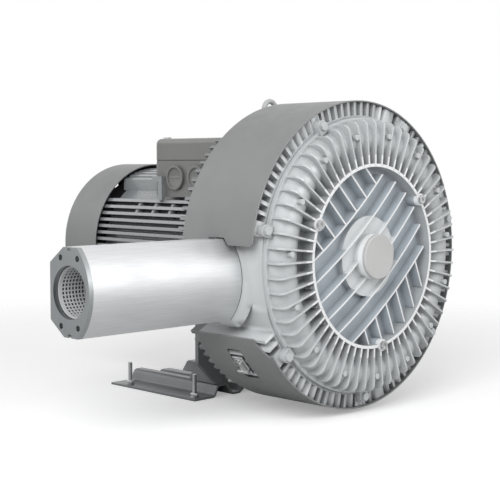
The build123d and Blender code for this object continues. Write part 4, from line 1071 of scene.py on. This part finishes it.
@dataclass
class Feet:
    """Foot plate, support, and the studs with their nuts."""

    frame: dict
    finishes: Finishes
    washer_radius: float = 0.0062
    nut_radius: float = 0.0058
    nut_height: float = 0.005
    nut_foot: float = 0.0042
    nut_rounding: float = 0.0004

    def build(self) -> None:
        """Dresses the feet."""
        dress(self.frame, ("foot_plate", "front_support"), self.finishes.plate_grey)
        dress(self.frame, ("support_bolts", "support_nuts"), self.finishes.zinc)
        dress(self.frame, ("foot_studs",), self.finishes.stud_zinc)
        self.stud_nuts()

    def stud_nuts(self) -> None:
        """Hexagon nuts that clamp the foot plate on its studs."""
        low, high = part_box("foot_studs")
        reach = self.washer_radius
        piece = Piece("foot_stud_nuts", "zinc_steel")
        for x in (low.x + reach, high.x - reach):
            for y in (low.y + reach, high.y - reach):
                place = Matrix.Translation((x, y, self.nut_foot))
                piece.drum(self.nut_radius, self.nut_height, place, sides=6)
        piece.soften(self.nut_rounding)
        piece.finish(self.finishes.zinc)


@dataclass
class Silencers:
    """The two silencers with their perforated liners."""

    frame: dict
    finishes: Finishes
    hole_pitch: float = 0.0045
    hole_web: float = 0.0015
    liner_sheet: float = 0.0008
    plain_end: float = 0.6

    def build(self) -> None:
        """Dresses both silencers."""
        for side, metal, turn in (
            ("inlet", self.finishes.extrusion_x, Matrix.Identity(4)),
            ("outlet", self.finishes.extrusion_y, Matrix.Rotation(pi / 2, 4, "Z")),
        ):
            dress(self.frame, (f"{side}_silencer_body",), metal)
            dress(self.frame, (f"{side}_end_plate",), self.finishes.cut_plate)
            self.perforated_liner(f"{side}_liner", turn)
            dress(self.frame, (f"{side}_lining",), self.finishes.felt)
            dress(self.frame, (f"{side}_silencer_bolts",), self.finishes.zinc)

    def perforated_liner(self, node: str, turn: Matrix) -> None:
        """Sheet tube full of holes that stands for the plain liner of the solids.

        A field of the sheet stays closed where its middle is within plain_end pitches of an end.

        Args:
            node: Name of the CAD liner.
            turn: Turn from the X axis to the axis of the liner.
        """
        low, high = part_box(node)
        length = max(high - low)
        radius = (high.z - low.z) / 2 - self.liner_sheet
        rows = round(length / self.hole_pitch)
        columns = round(tau * radius / self.hole_pitch)
        piece = Piece(f"{node}_perforated", "liner_steel")
        bmesh.ops.create_vert(piece.shape, co=(-length / 2, 0.0, radius))
        last = list(piece.shape.verts)
        for _ in range(rows):
            last = bmesh.ops.extrude_vert_indiv(piece.shape, verts=last)["verts"]
            bmesh.ops.translate(piece.shape, vec=(length / rows, 0.0, 0.0), verts=last)
        bmesh.ops.spin(
            piece.shape,
            geom=piece.shape.verts[:] + piece.shape.edges[:],
            cent=(0.0, 0.0, 0.0),
            axis=(1.0, 0.0, 0.0),
            angle=tau,
            steps=columns,
            use_merge=True,
        )
        inside = length / 2 - self.plain_end * self.hole_pitch
        holes = [face for face in piece.shape.faces if abs(face.calc_center_median().x) < inside]
        bmesh.ops.inset_individual(
            piece.shape, faces=holes, thickness=self.hole_web / 2, use_even_offset=True
        )
        bmesh.ops.delete(piece.shape, geom=holes, context="FACES_ONLY")
        bmesh.ops.solidify(piece.shape, geom=piece.shape.faces[:], thickness=self.liner_sheet)
        place = Matrix.Translation((low + high) / 2) @ turn
        bmesh.ops.transform(piece.shape, matrix=place, verts=piece.shape.verts)
        piece.finish(self.finishes.mesh_steel, stands_for=(node,), smooth=25.0)


@dataclass(frozen=True)
class Lamp:
    """Soft rectangular lamp; shines says whether it shows in reflections."""

    name: str
    place: tuple[float, float, float]
    size: tuple[float, float]
    watts: float
    shines: bool = True

    def hang(self, aim: Vector) -> None:
        """Adds the lamp to the scene.

        Args:
            aim: Point that it faces.
        """
        light = bpy.data.lights.new(self.name, "AREA")
        light.shape = "RECTANGLE"
        light.size, light.size_y = self.size
        light.energy = self.watts
        hung = bpy.data.objects.new(self.name, light)
        hung.location = self.place
        hung.rotation_euler = (aim - Vector(self.place)).to_track_quat("-Z", "Y").to_euler()
        hung.visible_glossy = self.shines
        bpy.context.scene.collection.objects.link(hung)


@dataclass(frozen=True)
class ShadowFloor:
    """Floor finish that the camera sees as white paper and the other rays as a grey floor.

    From fade_start to fade_end, measured from the frame's origin, it turns clear to the camera, so
    that it ends without a line.
    """

    bounce_tone: Tone = (0.6, 0.6, 0.6)
    paper_tone: Tone = (0.92, 0.92, 0.92)
    roughness: float = 0.9
    bounce_gloss: float = 0.1
    glow: float = 0.30
    fade_start: float = 0.55
    fade_end: float = 1.25

    def make(self) -> bpy.types.Material:
        """Builds the material of the floor.

        Returns:
            The material.
        """
        graph = Graph("white_floor")
        graph.shader.inputs["Base Color"].default_value = (*self.bounce_tone, 1.0)
        graph.shader.inputs["Roughness"].default_value = self.roughness
        graph.shader.inputs["Specular IOR Level"].default_value = self.bounce_gloss
        paper = graph.tree.nodes.new("ShaderNodeBsdfPrincipled")
        paper.inputs["Base Color"].default_value = (*self.paper_tone, 1.0)
        paper.inputs["Roughness"].default_value = self.roughness
        paper.inputs["Specular IOR Level"].default_value = 0.0
        paper.inputs["Emission Color"].default_value = (1.0, 1.0, 1.0, 1.0)
        paper.inputs["Emission Strength"].default_value = self.glow
        clear = graph.tree.nodes.new("ShaderNodeBsdfTransparent")
        seen = graph.tree.nodes.new("ShaderNodeLightPath").outputs["Is Camera Ray"]
        reach = graph.tree.nodes.new("ShaderNodeVectorMath")
        reach.operation = "LENGTH"
        graph.wire(graph.place, reach.inputs[0])
        far = graph.step(reach.outputs["Value"], self.fade_start, self.fade_end)
        by_ray = self.joined(graph, seen, graph.shader, paper)
        by_place = self.joined(graph, graph.math("MULTIPLY", far, seen), by_ray, clear)
        end = graph.tree.nodes["Material Output"]
        graph.wire(by_place.outputs[0], end.inputs["Surface"])
        return graph.material

    @staticmethod
    def joined(
        graph: Graph, share: bpy.types.NodeSocket, first: bpy.types.Node, second: bpy.types.Node
    ) -> bpy.types.Node:
        """Blend of two shaders.

        Args:
            graph: The material that is built.
            share: Share of the second shader.
            first: First shader.
            second: Second shader.

        Returns:
            The blending node.
        """
        blend = graph.tree.nodes.new("ShaderNodeMixShader")
        graph.wire(share, blend.inputs[0])
        graph.wire(first.outputs[0], blend.inputs[1])
        graph.wire(second.outputs[0], blend.inputs[2])
        return blend


@dataclass
class Studio:
    """Floor, lamps, world and camera."""

    camera_place: tuple[float, float, float] = (-1.1937, -1.2889, 0.3255)
    camera_sight: tuple[float, float, float] = (0.7017, 0.7089, -0.0722)
    lens: float = 86.4
    sensor_width: float = 36.0
    floor_half: float = 4.0
    world_light: float = 0.42
    aim: tuple[float, float, float] = (0.0, -0.15, 0.2)
    key: Lamp = Lamp("key_lamp", (-1.7, -1.1, 1.3), (1.3, 1.3), 31.0, shines=False)
    fill: Lamp = Lamp("fill_lamp", (0.5, -2.2, 1.0), (1.4, 1.0), 13.0)
    back: Lamp = Lamp("back_lamp", (-1.0, 1.7, 1.4), (1.2, 1.0), 3.0)

    def build(self) -> None:
        """Builds the whole studio."""
        self.floor()
        self.world()
        for lamp in (self.key, self.fill, self.back):
            lamp.hang(Vector(self.aim))
        self.camera()
        bpy.context.scene.view_settings.view_transform = "Standard"

    def floor(self) -> None:
        """Pale floor that is white to the camera except where the blower shades it."""
        shape = bmesh.new()
        bmesh.ops.create_grid(shape, x_segments=8, y_segments=8, size=self.floor_half)
        mesh = bpy.data.meshes.new("studio_floor")
        shape.to_mesh(mesh)
        shape.free()
        mesh.materials.append(ShadowFloor().make())
        floor = bpy.data.objects.new("studio_floor", mesh)
        bpy.context.scene.collection.objects.link(floor)

    def world(self) -> None:
        """White to the camera and in reflections, softer as a light."""
        world = bpy.data.worlds.new("studio")
        bpy.context.scene.world = world
        world.use_nodes = True
        tree = world.node_tree
        back = tree.nodes["Background"]
        back.inputs["Color"].default_value = (1.0, 1.0, 1.0, 1.0)
        path = tree.nodes.new("ShaderNodeLightPath")
        seen = path.outputs["Is Camera Ray"]
        for ray in ("Is Transmission Ray", "Is Glossy Ray"):
            either = tree.nodes.new("ShaderNodeMath")
            either.operation = "MAXIMUM"
            tree.links.new(seen, either.inputs[0])
            tree.links.new(path.outputs[ray], either.inputs[1])
            seen = either.outputs["Value"]
        strength = tree.nodes.new("ShaderNodeMapRange")
        strength.inputs["To Min"].default_value = self.world_light
        strength.inputs["To Max"].default_value = 1.0
        tree.links.new(seen, strength.inputs["Value"])
        tree.links.new(strength.outputs["Result"], back.inputs["Strength"])

    def camera(self) -> None:
        """Camera at the place that was worked out from the photograph, held level."""
        data = bpy.data.cameras.new("camera")
        data.lens = self.lens
        data.sensor_width = self.sensor_width
        camera = bpy.data.objects.new("camera", data)
        turn = Vector(self.camera_sight).to_track_quat("-Z", "Y").to_matrix().to_4x4()
        camera.matrix_world = Matrix.Translation(self.camera_place) @ turn
        bpy.context.scene.collection.objects.link(camera)
        bpy.context.scene.camera = camera


def main() -> None:
    """Builds the sub-assemblies in order, then the studio."""
    logging.basicConfig(level=logging.INFO, format="%(message)s")
    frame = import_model()
    finishes = Finishes()
    for assembly in (
        BlowerHead(frame, finishes),
        Inside(frame, finishes),
        Motor(frame, finishes),
        Feet(frame, finishes),
        Silencers(frame, finishes),
    ):
        assembly.build()
    Studio().build()


if __name__ == "__main__":
    main()
